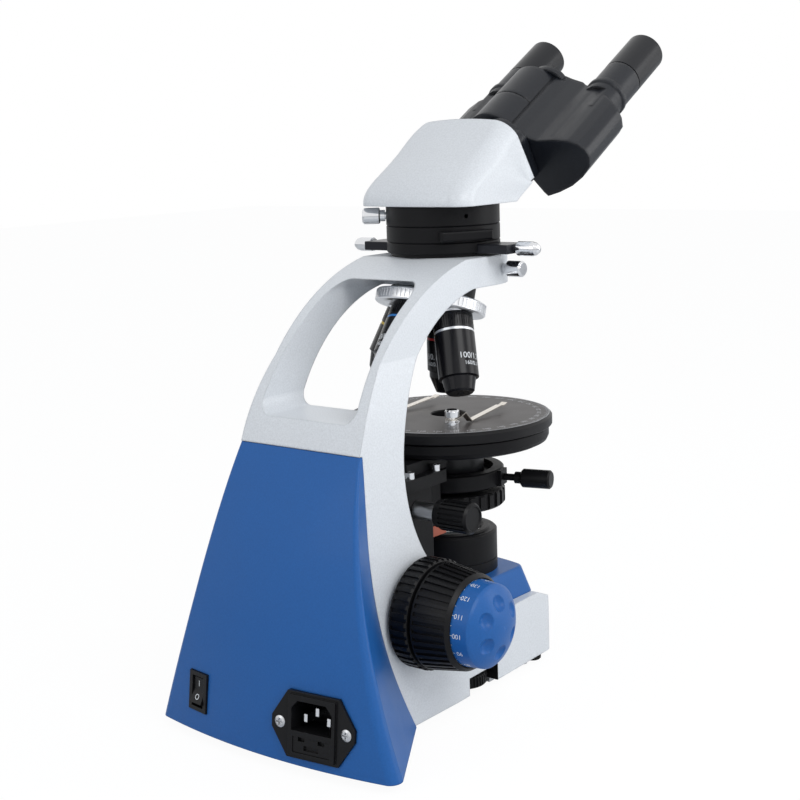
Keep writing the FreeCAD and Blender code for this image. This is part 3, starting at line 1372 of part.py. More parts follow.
def at_head(shape):
    moved = shape.copy()
    moved.Placement = Placement(Vector(0, 0, tube_origin.value), head_turn).multiply(moved.Placement)
    return moved


def head_point(x, v, w):
    spot = head_turn.multVec(Vector(x, v, w))
    return Vector(spot.x, spot.y, spot.z + tube_origin.value)


housing_face = cell("housing_face", 46.5)
housing_low = cell("housing_low", 274.3)
# Each section of the housing: its front and its top point in the Y-Z plane, then the half width and the
# drop from the top at the end of the arched top, half-way round the corner and at the end of the corner,
# and the half width at the front
HOUSING_SECTIONS = [
    ((-20.5, housing_low.value), (33.0, housing_low.value), (27.0, 1.8), (34.8, 5.0), (37.2, 14.0), 36.8),
    ((-26.5, 277.8), (32.4, 280.0), (26.7, 1.8), (34.5, 5.0), (36.9, 14.0), 36.5),
    ((-31.5, 281.2), (28.0, 286.5), (26.0, 2.2), (34.2, 6.5), (36.6, 15.0), 37.0),
    ((-36.0, 284.6), (2.3, 305.6), (24.0, 1.7), (32.5, 5.8), (35.7, 13.5), 36.7),
    ((-39.3, 286.8), (-19.5, 321.0), (22.0, 1.2), (30.8, 5.1), (34.8, 12.0), 36.4)]


def housing_section(front, top, arch, bend, shoulder, half_front):
    low, high = Vector(0, *front), Vector(0, *top)
    length = low.distanceToPoint(high)
    up = (high - low) * (1.0 / length)

    def at(x, drop):
        return low + up * (length - drop) + Vector(x, 0, 0)

    corners = []
    for turn in (1, -1):
        corners.append(Part.Arc(at(turn * arch[0], arch[1]), at(turn * bend[0], bend[1]),
                                at(turn * shoulder[0], shoulder[1])).toShape())
    arched = Part.Arc(at(-arch[0], arch[1]), at(0, 0), at(arch[0], arch[1])).toShape()
    right = Part.makeLine(at(shoulder[0], shoulder[1]), at(half_front, length))
    bottom = Part.makeLine(at(half_front, length), at(-half_front, length))
    left = Part.makeLine(at(-half_front, length), at(-shoulder[0], shoulder[1]))
    return Part.Wire([arched, corners[0], right, bottom, left, corners[1]])


def head_housing():
    body = Part.makeLoft([housing_section(*section) for section in HOUSING_SECTIONS], True, False)
    body = body.cut(at_head(box(-50, 50, -20, 50, housing_face, housing_face + 10)))
    body = body.fuse(rod(spigot, (0, 0, mount_low + 1.6), (0, 0, housing_low + 2)))
    body = body.cut(rod(10.0, (0, 0, 250), (0, 0, 285)))
    return body


feature("head_housing", head_housing())
hub_end = cell("hinge_hub_end", 73.0)
hinge_v = cell("hinge_offset", 10.5)
hinge_pin = cell("hinge_pin_radius", 4.0)
barrel_radius = cell("hinge_barrel_radius", 17.0)
lug_radius = cell("hinge_lug_radius", 13.0)
box_start = cell("prism_box_start", 73.6)
box_end = cell("prism_box_end", 139.0)
lug_thick = cell("hinge_lug_thick", 4.4)
slant_start = cell("box_slant_start", 23.0)
far_gap = cell("far_box_gap", 25.5)
tube_radius = cell("eye_tube_radius", 12.15)
tube_bore = cell("eye_tube_bore", 11.25)
tube_seat = cell("eye_tube_seat", 131.5)
tube_end = cell("eye_tube_end", 160.0)


def head_prism(points, low, high):
    """A straight block on the head: its outline in x and v, from one distance along the tubes to another."""
    corners = [Vector(x, v, low) for x, v in points]
    return Part.Face(Part.makePolygon(corners + [corners[0]])).extrude(Vector(0, 0, high - low))


def hinge_hub():
    body = box(-20, 20, -12, 18, housing_face, hub_end)
    body = body.makeFillet(6.0, [edge for edge in body.Edges if edge.BoundBox.ZLength > 20
                                 and edge.BoundBox.YMin > 10])
    body = body.cut(rod(hinge_pin, (0, hinge_v, 55), (0, hinge_v, 80)))
    return at_head(body)


feature("hinge_hub", hinge_hub())


def hinge_barrel():
    low, high = box_start + lug_thick + air, box_end - lug_thick - air
    body = rod(barrel_radius, (8, 9.3, low), (8, 9.3, high))
    groove = rod(barrel_radius + 1, (8, 9.3, 103.4),
                 (8, 9.3, 104.4)).cut(rod(barrel_radius - 0.8, (8, 9.3, 100), (8, 9.3, 110)))
    pin = rod(hinge_pin, (0, hinge_v, 55), (0, hinge_v, box_end + air))
    cap = rod(hinge_pin + 2.4, (0, hinge_v, box_end + air), (0, hinge_v, box_end + 1.8))
    return at_head(body.cut(groove).fuse(pin).fuse(cap))


feature("hinge_barrel", hinge_barrel())

BOX_OUTLINE = [(7.2, 18.4), (16.1, 13.5), (25.3, 9.8), (36.7, 10.2), (46.1, 9.3), (52.0, 6.8), (56.0, 2.9),
               (57.3, -1.9), (55.5, -8.5), (48.8, -15.3), (40.1, -21.1), (29.8, -25.6), (20.8, -28.3),
               (16.0, -22.0), (3.0, 4.0)]
WEDGE = 27.5
SLANT = 0.65


def prism_box(side):
    """Prism box that swings on the hinge pin; side is -1 for the near one and 1 for the far one."""
    body = head_prism([(side * x, v) for x, v in BOX_OUTLINE], box_start.value, box_end.value)
    slope = math.tan(math.radians(WEDGE))
    reach = 60.0
    middle = hinge_v.value
    keep_side = [(0, middle), (0, 60), (side * 90, 60), (side * 90, middle - reach),
                 (side * slope * reach, middle - reach)]
    body = body.common(head_prism(keep_side, 60.0, 160.0))
    if side < 0:
        lug_low = box_start.value
        for i in range(5):
            turn = math.radians(-1.5 - 8.5 * i)
            spot = (8.09 * math.cos(turn), middle + 8.09 * math.sin(turn))
            body = body.cut(rod(barrel_radius + 0.35, (*spot, lug_low + lug_thick), (*spot, 160)))
        body = body.cut(rod(lug_radius + air, (0, hinge_v, box_end - lug_thick - air), (0, hinge_v, 160)))
        arm_end = 19.0
    else:
        lug_low = box_end - lug_thick
        body = body.cut(rod(far_gap, (0, hinge_v, 60), (0, hinge_v, 160)))
        arm_end = far_gap.value + 3.0
    lug = rod(lug_radius, (0, hinge_v, lug_low), (0, hinge_v, lug_low + lug_thick))
    arm_ends = sorted((0.0, side * arm_end))
    arm = box(*arm_ends, hinge_v - 12, hinge_v - 2, lug_low, lug_low + lug_thick)
    body = body.fuse(lug).fuse(arm)
    body = body.cut(rod(hinge_pin + fit, (0, hinge_v, 60), (0, hinge_v, 160)))
    # The outer half of the box's end slopes back towards the stand
    start, level = slant_start.value, box_end.value
    top = [(start, level), (70, level - SLANT * (70 - start)), (70, 160), (start, 160)]
    above = Part.makePolygon([Vector(side * x, -60, w) for x, w in top + top[:1]])
    body = body.cut(Part.Face(above).extrude(Vector(0, 120, 0)))
    centre = side * tube_half_gap.value
    body = body.cut(rod(9.5, (centre, 0, box_start + 3.0), (centre, 0, 160)))
    body = max(body.Solids, key=lambda solid: solid.Volume)
    tube = revolved([(9.5, 112), (tube_radius, 112), (tube_radius, 136.0), (tube_radius + 0.9, 136.8),
                     (tube_radius + 0.9, 139.4), (tube_radius, 140.2), (tube_radius, tube_end - 0.4),
                     (tube_radius - 0.4, tube_end), (tube_bore, tube_end), (tube_bore, tube_seat),
                     (9.5, tube_seat)]).translated(Vector(centre, 0, 0))
    tube = tube.cut(box(centre - 20, centre + 20, 9.9, 20, 110, 131))
    seat_bore = rod(tube_bore, (centre, 0, tube_seat), (centre, 0, 160))
    return at_head(body.cut(seat_bore).fuse(tube))


def along_tube(label, side, outline):
    """A turned piece on the axis of one eyepiece tube."""
    piece = turned(label, outline)
    spot = head_turn.multVec(Vector(side * tube_half_gap.value, 0, 0))
    piece.Placement = Placement(Vector(spot.x, spot.y + axis_shift.value, spot.z + tube_origin.value),
                                head_turn)
    for letter, value in zip("xyz", (tube_half_gap * side, axis_shift, tube_origin)):
        piece.setExpression("Placement.Base." + letter, value.text)
    return piece


for direction, facing, side in SIDES:
    feature("prism_box_" + side, prism_box(direction))
    along_tube("eyepiece_" + side, direction, [
        (0.0, 150.0), (9.0, 150.0), (9.0, 146.0), (tube_bore - fit, 146.0), (tube_bore - fit, tube_end + air),
        (eye_radius, tube_end + air), (eye_radius, tube_reach - 1.2),
        (eye_radius - 1.2, tube_reach), (9.4, tube_reach), (8.2, tube_reach - 2.2),
        (8.2, tube_reach - 3.0), (0.0, tube_reach - 3.0)])

doc.recompute()
for node in doc.Objects:
    if "Invalid" in node.State or "Error" in node.State:
        raise RuntimeError("%s could not be computed" % node.Label)
for node in parts:
    if node.Shape.isNull() or not node.Shape.isValid():
        raise RuntimeError("%s has no valid shape" % node.Label)
os.makedirs("parts", exist_ok=True)
for node in parts:
    node.Shape.exportStep("parts/%s.step" % node.Label)
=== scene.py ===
import math

import bmesh
import bpy
from mathutils import Matrix, Vector


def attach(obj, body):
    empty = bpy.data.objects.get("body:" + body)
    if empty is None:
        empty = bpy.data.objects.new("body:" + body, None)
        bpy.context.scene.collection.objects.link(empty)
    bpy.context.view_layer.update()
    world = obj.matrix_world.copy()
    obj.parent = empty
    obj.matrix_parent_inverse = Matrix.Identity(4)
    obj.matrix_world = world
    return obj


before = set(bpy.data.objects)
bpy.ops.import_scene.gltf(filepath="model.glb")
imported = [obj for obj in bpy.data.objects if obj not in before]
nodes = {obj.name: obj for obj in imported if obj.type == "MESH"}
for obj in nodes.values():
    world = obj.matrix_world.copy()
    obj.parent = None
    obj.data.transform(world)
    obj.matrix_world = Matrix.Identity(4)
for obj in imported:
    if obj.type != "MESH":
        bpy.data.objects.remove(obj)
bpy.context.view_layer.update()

# Everything below is in metres. The optical axis stands a little behind the origin.
MM = 0.001
AXIS_Y = 1.378265 * MM


def at(x, y, z):
    """A point given in millimetres from the optical axis at the table."""
    return Vector((x * MM, y * MM + AXIS_Y, z * MM))


# Materials


def material(name, color, rough, metal=0.0, grain=0.0, grain_size=0.0, mottle=0.0, bevel=0.35, coat=0.0,
             scratch=0.0, fleck=0.0, gloss=0.5, side=None):
    """A painted, moulded or metal surface with rounded edges and a procedural grain."""
    made = bpy.data.materials.new(name)
    made.use_nodes = True
    tree = made.node_tree
    shader = tree.nodes["Principled BSDF"]
    shader.inputs["Base Color"].default_value = (*color, 1.0)
    shader.inputs["Roughness"].default_value = rough
    shader.inputs["Metallic"].default_value = metal
    shader.inputs["Coat Weight"].default_value = coat
    shader.inputs["Coat Roughness"].default_value = 0.12
    shader.inputs["Specular IOR Level"].default_value = gloss
    link = tree.links.new
    place = tree.nodes.new("ShaderNodeTexCoord")
    edge = tree.nodes.new("ShaderNodeBevel")
    edge.samples = 4
    edge.inputs["Radius"].default_value = bevel * MM
    normal = edge.outputs["Normal"]
    if grain > 0:
        noise = tree.nodes.new("ShaderNodeTexNoise")
        noise.inputs["Scale"].default_value = 1.0 / (grain_size * MM)
        noise.inputs["Detail"].default_value = 3.0
        link(place.outputs["Object"], noise.inputs["Vector"])
        bump = tree.nodes.new("ShaderNodeBump")
        bump.inputs["Strength"].default_value = grain
        bump.inputs["Distance"].default_value = 0.12 * MM
        link(noise.outputs["Fac"], bump.inputs["Height"])
        link(normal, bump.inputs["Normal"])
        normal = bump.outputs["Normal"]
    if mottle > 0:
        wide = tree.nodes.new("ShaderNodeTexNoise")
        wide.inputs["Scale"].default_value = 60.0
        wide.inputs["Detail"].default_value = 5.0
        link(place.outputs["Object"], wide.inputs["Vector"])
        spread = tree.nodes.new("ShaderNodeMapRange")
        spread.inputs["To Min"].default_value = max(rough - mottle, 0.02)
        spread.inputs["To Max"].default_value = rough + mottle
        link(wide.outputs["Fac"], spread.inputs["Value"])
        link(spread.outputs["Result"], shader.inputs["Roughness"])
        tint = tree.nodes.new("ShaderNodeMix")
        tint.data_type = "RGBA"
        tint.inputs["A"].default_value = (*[c * (1 - 0.35 * mottle) for c in color], 1.0)
        tint.inputs["B"].default_value = (*[min(c * (1 + 0.35 * mottle), 1.0) for c in color], 1.0)
        link(wide.outputs["Fac"], tint.inputs["Factor"])
        toned = tint.outputs["Result"]
        if fleck > 0:
            fine = tree.nodes.new("ShaderNodeTexNoise")
            fine.inputs["Scale"].default_value = 1.0 / (0.9 * MM)
            fine.inputs["Detail"].default_value = 2.0
            link(place.outputs["Object"], fine.inputs["Vector"])
            level = tree.nodes.new("ShaderNodeMapRange")
            level.inputs["From Min"].default_value = 0.3
            level.inputs["From Max"].default_value = 0.7
            level.inputs["To Min"].default_value = 1.0 - fleck
            level.inputs["To Max"].default_value = 1.0 + fleck
            link(fine.outputs["Fac"], level.inputs["Value"])
            spot = tree.nodes.new("ShaderNodeVectorMath")
            spot.operation = "SCALE"
            link(toned, spot.inputs[0])
            link(level.outputs["Result"], spot.inputs["Scale"])
            toned = spot.outputs["Vector"]
        if side:
            # Painted sheen: faces that look up get the lighter base colour, the sides keep the darker side
            # colour
            facing = tree.nodes.new("ShaderNodeSeparateXYZ")
            link(place.outputs["Normal"], facing.inputs[0])
            painted_sheen_mask = tree.nodes.new("ShaderNodeMapRange")
            painted_sheen_mask.inputs["From Min"].default_value = 0.8
            painted_sheen_mask.inputs["From Max"].default_value = 0.95
            link(facing.outputs["Z"], painted_sheen_mask.inputs["Value"])
            painted_sheen_mix = tree.nodes.new("ShaderNodeMix")
            painted_sheen_mix.data_type = "RGBA"
            painted_sheen_mix.inputs["A"].default_value = (*side, 1.0)
            link(toned, painted_sheen_mix.inputs["B"])
            link(painted_sheen_mask.outputs["Result"], painted_sheen_mix.inputs["Factor"])
            toned = painted_sheen_mix.outputs["Result"]
        link(toned, shader.inputs["Base Color"])
    if scratch > 0:
        lines = tree.nodes.new("ShaderNodeTexNoise")
        lines.inputs["Scale"].default_value = 900.0
        stretch = tree.nodes.new("ShaderNodeMapping")
        stretch.inputs["Scale"].default_value = (1.0, 1.0, 0.04)
        link(place.outputs["Object"], stretch.inputs["Vector"])
        link(stretch.outputs["Vector"], lines.inputs["Vector"])
        rub = tree.nodes.new("ShaderNodeBump")
        rub.inputs["Strength"].default_value = scratch
        rub.inputs["Distance"].default_value = 0.05 * MM
        link(lines.outputs["Fac"], rub.inputs["Height"])
        link(normal, rub.inputs["Normal"])
        normal = rub.outputs["Normal"]
    link(normal, shader.inputs["Normal"])
    return made


def glass(name, color, rough=0.02):
    made = bpy.data.materials.new(name)
    made.use_nodes = True
    shader = made.node_tree.nodes["Principled BSDF"]
    shader.inputs["Base Color"].default_value = (*color, 1.0)
    shader.inputs["Roughness"].default_value = rough
    shader.inputs["Transmission Weight"].default_value = 0.9
    shader.inputs["IOR"].default_value = 1.5
    return made


white = material("enamel_white", (0.74, 0.77, 0.805), 0.42, grain=0.36, grain_size=0.6, mottle=0.05,
                 bevel=1.2, coat=0.14, fleck=0.06)
blue = material("satin_blue", (0.014, 0.112, 0.375), 0.40, grain=0.20, grain_size=0.6, mottle=0.06, bevel=1.0,
                coat=0.06, fleck=0.05, gloss=0.25)
black = material("black_textured", (0.006, 0.006, 0.007), 0.42, grain=0.6, grain_size=0.55, mottle=0.08,
                 bevel=0.5, gloss=0.14)
# The stage's lighter brown-grey top colour is a painted sheen on black; its sides keep the black
stage_black = material("stage_top", (0.060, 0.054, 0.053), 0.40, grain=0.25, grain_size=0.5, mottle=0.07,
                       bevel=0.4, gloss=0.2, side=(0.006, 0.006, 0.007))
black_head = material("black_binocular", (0.010, 0.012, 0.017), 0.34, grain=0.55, grain_size=0.6, mottle=0.07,
                      bevel=3.0, coat=0.05, gloss=0.32, fleck=0.2)
knob_black = material("black_knob", (0.007, 0.007, 0.008), 0.36, grain=0.2, grain_size=0.4, mottle=0.05,
                      bevel=0.3, gloss=0.16)
mould_black = material("black_moulding", (0.008, 0.008, 0.009), 0.30, grain=0.12, grain_size=0.3, mottle=0.04,
                       bevel=0.35, gloss=0.18)
eye_black = material("eyepiece_black", (0.011, 0.012, 0.015), 0.30, mottle=0.05, bevel=0.35, grain=0.12,
                     grain_size=0.4, gloss=0.28)
barrel_black = material("objective_black", (0.006, 0.006, 0.008), 0.24, mottle=0.05, bevel=0.25, scratch=0.08,
                        gloss=0.22)
chrome = material("chrome_bright", (0.74, 0.75, 0.77), 0.13, metal=1.0, bevel=0.2, mottle=0.04)
blade = material("clip_blade", (0.74, 0.70, 0.64), 0.24, metal=1.0, bevel=0.1, mottle=0.05, scratch=0.1)
steel = material("steel_ground", (0.55, 0.56, 0.58), 0.30, metal=1.0, bevel=0.2, scratch=0.25, mottle=0.06)
knurled = material("turret_ring", (0.86, 0.87, 0.89), 0.30, metal=1.0, bevel=0.15, mottle=0.05)
anodised = material("anodised_bar", (0.016, 0.017, 0.022), 0.30, metal=0.2, bevel=0.3, scratch=0.15,
                    mottle=0.04, gloss=0.25)
brass = material("bush_brass", (0.62, 0.44, 0.17), 0.28, metal=1.0, bevel=0.2, mottle=0.06)
rubber = material("foot_rubber", (0.016, 0.016, 0.016), 0.8, grain=0.3, grain_size=0.4, gloss=0.15)
ceramic = material("ceramic", (0.72, 0.70, 0.64), 0.6, grain=0.2, grain_size=0.5)
terracotta = material("stop_pad", (0.36, 0.085, 0.045), 0.55, grain=0.3, grain_size=0.5, mottle=0.06)
lens = glass("field_glass", (0.82, 0.90, 0.94), 0.05)
bulb = glass("bulb_glass", (0.95, 0.97, 0.98), 0.02)
coated = material("coated_lens", (0.03, 0.035, 0.06), 0.05, metal=0.0, coat=1.0, bevel=0.1)
ink_white = material("ink_white", (0.80, 0.83, 0.86), 0.5, bevel=0.02)
ink_stage = material("ink_stage", (0.58, 0.60, 0.62), 0.5, bevel=0.02)
band_red = material("band_red", (0.55, 0.03, 0.03), 0.4, bevel=0.05)
band_yellow = material("band_yellow", (0.72, 0.50, 0.03), 0.4, bevel=0.05)
band_blue = material("band_blue", (0.03, 0.24, 0.70), 0.4, bevel=0.05)
band_white = material("band_white", (0.78, 0.79, 0.82), 0.3, metal=0.4, bevel=0.05)

LOOKS = {
    "stand_casting": white, "rear_cover": blue, "front_cover": blue, "fine_knobs": blue,
    "illuminator_drum": black, "stage_carriage": black, "stage_bracket": black, "stage_ring": black,
    "stage_disc": stage_black, "condenser_carrier": black, "condenser_tube": eye_black,
    "analyzer_housing": black, "compensator_ring": black, "slot_cover": black, "head_mount_ring": black,
    "head_housing": white, "hinge_hub": black_head, "prism_box_near": black_head,
    "prism_box_far": black_head, "nosepiece_base": black, "tension_ring_near": knob_black,
    "tension_ring_far": knob_black, "coarse_knobs": knob_black, "condenser_knob": knob_black,
    "condenser_clamp": knob_black, "polarizer_ring": knob_black, "dimmer_wheel": knob_black,
    "mains_inlet": mould_black, "fuse_drawer": mould_black, "switch_frame": mould_black,
    "switch_rocker": mould_black, "eyepiece_near": eye_black, "eyepiece_far": eye_black,
    "slider_knobs": chrome, "clip_posts": chrome, "head_clamp": chrome, "arm_clamp": chrome,
    "objective_4x": barrel_black, "objective_10x": barrel_black, "objective_40x": barrel_black,
    "objective_100x": barrel_black, "bracket_screws": chrome, "inlet_pins": chrome, "coarse_shaft": steel,
    "focus_guide": steel, "focus_rack": steel, "condenser_drive_shaft": steel, "stage_clip_near": blade,
    "stage_clip_far": blade, "bottom_plate": steel, "base_screws": steel, "inlet_screws": steel,
    "nosepiece_turret": knurled, "analyzer_slider": anodised, "hinge_barrel": black_head,
    "focus_bushes": brass, "rubber_feet": rubber, "field_lens": lens, "halogen_bulb": bulb,
    "lamp_holder": ceramic,
}
for name, look in LOOKS.items():
    for place in nodes[name].material_slots:
        place.link = "OBJECT"
        place.material = look

# Pieces


def piece(name, vertices, faces, look, body):
    """A mesh object that rides on one body."""
    mesh = bpy.data.meshes.new(name)
    mesh.from_pydata([tuple(v) for v in vertices], [], faces)
    mesh.materials.append(look)
    mesh.update()
    made = bpy.data.objects.new(name, mesh)
    bpy.context.scene.collection.objects.link(made)
    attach(made, body)
    return made


# A font's size for one unit of its capitals' height
SIZE_PER_HEIGHT = 1.38


def letters(words, height):
    """Flat letters, centred on the origin, as points in metres and faces. The height is in millimetres."""
    curve = bpy.data.curves.new("letters", "FONT")
    curve.body = words
    curve.size = height * MM * SIZE_PER_HEIGHT
    curve.align_x = "CENTER"
    curve.align_y = "CENTER"
    curve.resolution_u = 3
    holder = bpy.data.objects.new("letters", curve)
    bpy.context.scene.collection.objects.link(holder)
    bpy.context.view_layer.update()
    flat = bpy.data.meshes.new_from_object(holder.evaluated_get(bpy.context.evaluated_depsgraph_get()))
    points = [(vertex.co.x, vertex.co.y) for vertex in flat.vertices]
    faces = [tuple(polygon.vertices) for polygon in flat.polygons]
    bpy.data.objects.remove(holder)
    bpy.data.curves.remove(curve)
    bpy.data.meshes.remove(flat)
    return points, faces


class Batch:
    """Collects many small flat marks into one mesh."""

    def __init__(self):
        self.vertices = []
        self.faces = []

    def bar(self, matrix, x0, x1, y0, y1, lift):
        """A rectangle in the matrix's X-Y plane, lifted along its Z."""
        corners = ((x0, y0), (x1, y0), (x1, y1), (x0, y1))
        self.add([matrix @ Vector((x * MM, y * MM, lift * MM)) for x, y in corners], [(0, 1, 2, 3)])

    def add(self, points, faces):
        """Takes in points and the faces between them."""
        start = len(self.vertices)
        self.vertices += points
        self.faces += [tuple(start + i for i in face) for face in faces]

    def text(self, matrix, words, height, lift=0.03):
        """Letters in the matrix's X-Y plane, centred, upright along its Y."""
        points, faces = letters(words, height)
        self.add([matrix @ Vector((x, y, lift * MM)) for x, y in points], faces)

    def wrap(self, surface, words, height, angle, level):
        """Letters laid round a turned surface. surface(angle, level, across, up) gives a point."""
        points, faces = letters(words, height)
        self.add([surface(angle, level, x / MM, y / MM) for x, y in points], faces)

    def strip(self, surface, angle, level, corners):
        """One small patch on a turned surface."""
        self.add([surface(angle, level, across, up) for across, up in corners], [tuple(range(len(corners)))])

    def done(self, name, look, body):
        return piece(name, self.vertices, self.faces, look, body)


def frame_matrix(origin, x_axis, y_axis):
    """A matrix whose X and Y axes run along the given directions."""
    x = Vector(x_axis).normalized()
    z = x.cross(Vector(y_axis)).normalized()
    y = z.cross(x)
    made = Matrix((x, y, z)).transposed().to_4x4()
    made.translation = origin
    return made


# Stage scale: a tick for every degree, a number for every tenth, and a line round the edge.
# It is read from outside the disc.
STAGE_TOP = 153.5
TICK_TENTH, TICK_FIFTH, TICK_DEGREE, TICK_END = 55.2, 56.0, 56.7, 57.9
TICK_HALF = 0.12
EDGE_LINE = (58.1, 58.5)
DEGREE_HALF = 0.53
NUMBER_RADIUS = 52.6
scale = Batch()
for degree in range(360):
    angle = math.radians(degree)
    out = Vector((math.cos(angle), math.sin(angle), 0))
    along = Vector((-math.sin(angle), math.cos(angle), 0))
    spot = frame_matrix(at(0, 0, STAGE_TOP), out, along)
    inner = TICK_TENTH if degree % 10 == 0 else TICK_FIFTH if degree % 5 == 0 else TICK_DEGREE
    scale.bar(spot, inner, TICK_END, -TICK_HALF, TICK_HALF, 0.03)
    scale.bar(spot, *EDGE_LINE, -DEGREE_HALF, DEGREE_HALF, 0.03)
for tens in range(36):
    angle = math.radians(tens * 10)
    out = Vector((math.cos(angle), math.sin(angle), 0))
    along = Vector((-math.sin(angle), math.cos(angle), 0))
    spot = frame_matrix(at(0, 0, STAGE_TOP) + out * NUMBER_RADIUS * MM, along, -out)
    scale.text(spot, str(tens * 10), 2.6)
scale.done("stage_scale", ink_stage, "stage_table")

# Fine focus scale on both knobs: the numbers stand along the axis
KNOB_Y, KNOB_Z = 89.0, 67.0
KNOB_RADIUS, KNOB_TAPER, KNOB_START, KNOB_LENGTH = 22.8, 0.9, 79.0, 11.0
NUMBER_LEVEL = 84.6
NUMBERS = 14
FIRST_NUMBER = 100


def knob_surface(side):
    def surface(angle, level, across, up):
        height = level - across
        radius = KNOB_RADIUS - KNOB_TAPER * (height - KNOB_START) / KNOB_LENGTH + 0.03
        turn = angle + side * up / radius
        return at(side * height, KNOB_Y + radius * math.cos(turn), KNOB_Z + radius * math.sin(turn))
    return surface


for side, label in ((-1, "near"), (1, "far")):
    marks = Batch()
    surface = knob_surface(side)
    for i in range(NUMBERS * 10):
        angle = 2 * math.pi * i / (NUMBERS * 10)
        top = 2.9 if i % 10 == 0 else 2.4 if i % 5 == 0 else 1.7
        marks.strip(surface, angle, KNOB_START, ((-0.35, -0.13), (-top, -0.13), (-top, 0.13), (-0.35, 0.13)))
    for i in range(180):
        angle = 2 * math.pi * i / 180
        marks.strip(surface, angle, KNOB_START, ((-0.1, -0.4), (-0.45, -0.4), (-0.45, 0.4), (-0.1, 0.4)))
    for i in range(NUMBERS):
        number = (i * 10 + FIRST_NUMBER) % (NUMBERS * 10)
        marks.wrap(surface, str(number), 2.6, 2 * math.pi * i / NUMBERS, NUMBER_LEVEL)
    marks.done("fine_scale_" + label, ink_white, "fine_drive")

# Objectives: coloured ring and power. Each has its name, quarter turn, power, aperture, the ring's
# colour and the power's distance below the shoulder.
APEX = at(0, 0, 260.9)
LEAN = math.radians(18)
UP = Vector((0, -math.sin(LEAN), math.cos(LEAN)))


def objective_matrix(quarter):
    return Matrix.Translation(APEX) @ Matrix.Rotation(math.radians(90 * quarter), 4, UP)


def ring(name, matrix, radius, low, high, look, body, count=64):
    vertices, faces = [], []
    for i in range(count):
        angle = 2 * math.pi * i / count
        for z in (low, high):
            x, y = radius * math.cos(angle), radius * math.sin(angle)
            vertices.append(matrix @ Vector((x * MM, y * MM, z * MM)))
    for i in range(count):
        a, b = 2 * i, 2 * ((i + 1) % count)
        faces.append((a, b, b + 1, a + 1))
    made = piece(name, vertices, faces, look, body)
    for polygon in made.data.polygons:
        polygon.use_smooth = True
    return made


SHOULDER = 53.2
TEXT_TURN = 83
TEXT_RADIUS = 11.28
LINE_STEP = 4.2
OBJECTIVES = (
    ("4x", 0, "4", "0.10", band_red, 20.0), ("10x", 1, "10", "0.25", band_yellow, 19.5),
    ("40x", 2, "40", "0.65", band_blue, 23.5), ("100x", 3, "100", "1.25", band_white, 26.0),
)
for name, quarter, power, aperture, look, drop in OBJECTIVES:
    matrix = objective_matrix(quarter)
    ring("band_" + name, matrix, 11.0, -SHOULDER - 10.9, -SHOULDER - 9.3, look, "turret")
    marks = Batch()

    def barrel(angle, level, across, up):
        turn = angle + across / TEXT_RADIUS
        out = TEXT_RADIUS * MM
        return matrix @ Vector((out * math.cos(turn), out * math.sin(turn), (level + up) * MM))

    for i in range(2):
        angle = math.radians(180 * i + TEXT_TURN)
        marks.wrap(barrel, "%s/%s" % (power, aperture), 3.5, angle, -SHOULDER - drop)
        marks.wrap(barrel, "160/0.17", 2.3, angle, -SHOULDER - drop - LINE_STEP)
    marks.done("power_" + name, ink_white, "turret")

# Lenses at the eyepieces' mouths and on the condenser
HEAD = at(0, 0, 261.8)
TUBE_HALF_GAP = 36.0
TILT = math.radians(60)
head_matrix = Matrix.Translation(HEAD) @ Matrix.Rotation(TILT, 4, "X")


def disc(name, matrix, radius, height, dome, look, body):
    """A shallow lens seen from its front."""
    vertices, faces = [matrix @ Vector((0, 0, (height + dome) * MM))], []
    rings, count = 5, 48
    for j in range(1, rings + 1):
        r = radius * j / rings
        z = height + dome * (1 - (j / rings) ** 2)
        for i in range(count):
            angle = 2 * math.pi * i / count
            vertices.append(matrix @ Vector((r * MM * math.cos(angle), r * MM * math.sin(angle), z * MM)))
    for i in range(count):
        faces.append((0, 1 + i, 1 + (i + 1) % count))
    for j in range(rings - 1):
        for i in range(count):
            a, b = 1 + j * count + i, 1 + j * count + (i + 1) % count
            faces.append((a, a + count, b + count, b))
    made = piece(name, vertices, faces, look, body)
    for polygon in made.data.polygons:
        polygon.use_smooth = True
    return made


for side, label in ((-1, "near"), (1, "far")):
    tube = head_matrix @ Matrix.Translation((side * TUBE_HALF_GAP * MM, 0, 0))
    disc("eye_lens_" + label, tube, 8.1, 191.7, 1.2, coated, "eyepiece_" + label)
disc("condenser_lens", Matrix.Translation(at(0, 0, 0)), 11.9, 142.4, 1.0, coated, "condenser_lift")

# Switch marks
switch = Matrix.Translation(at(47.5, 162.8, 26.5)) @ Matrix.Rotation(math.radians(-9), 4, "Z")
switch = switch @ Matrix.Rotation(math.radians(6.5), 4, "X")
rocker = switch @ Matrix.Translation((0, -2.0 * MM, 0)) @ Matrix.Rotation(math.radians(9), 4, "X")
slope = math.atan2(1.2, 6.9)
marks = Batch()
for sign, words in ((1, "I"), (-1, "O")):
    spot = rocker @ Matrix.Translation((0, 3.6 * MM, sign * 3.6 * MM))
    facing = frame_matrix(Vector(), (-1, 0, 0), (0, sign * math.sin(slope), math.cos(slope)))
    marks.text(spot @ facing, words, 3.2, 0.06)
marks.done("switch_marks", ink_white, "power_rocker")


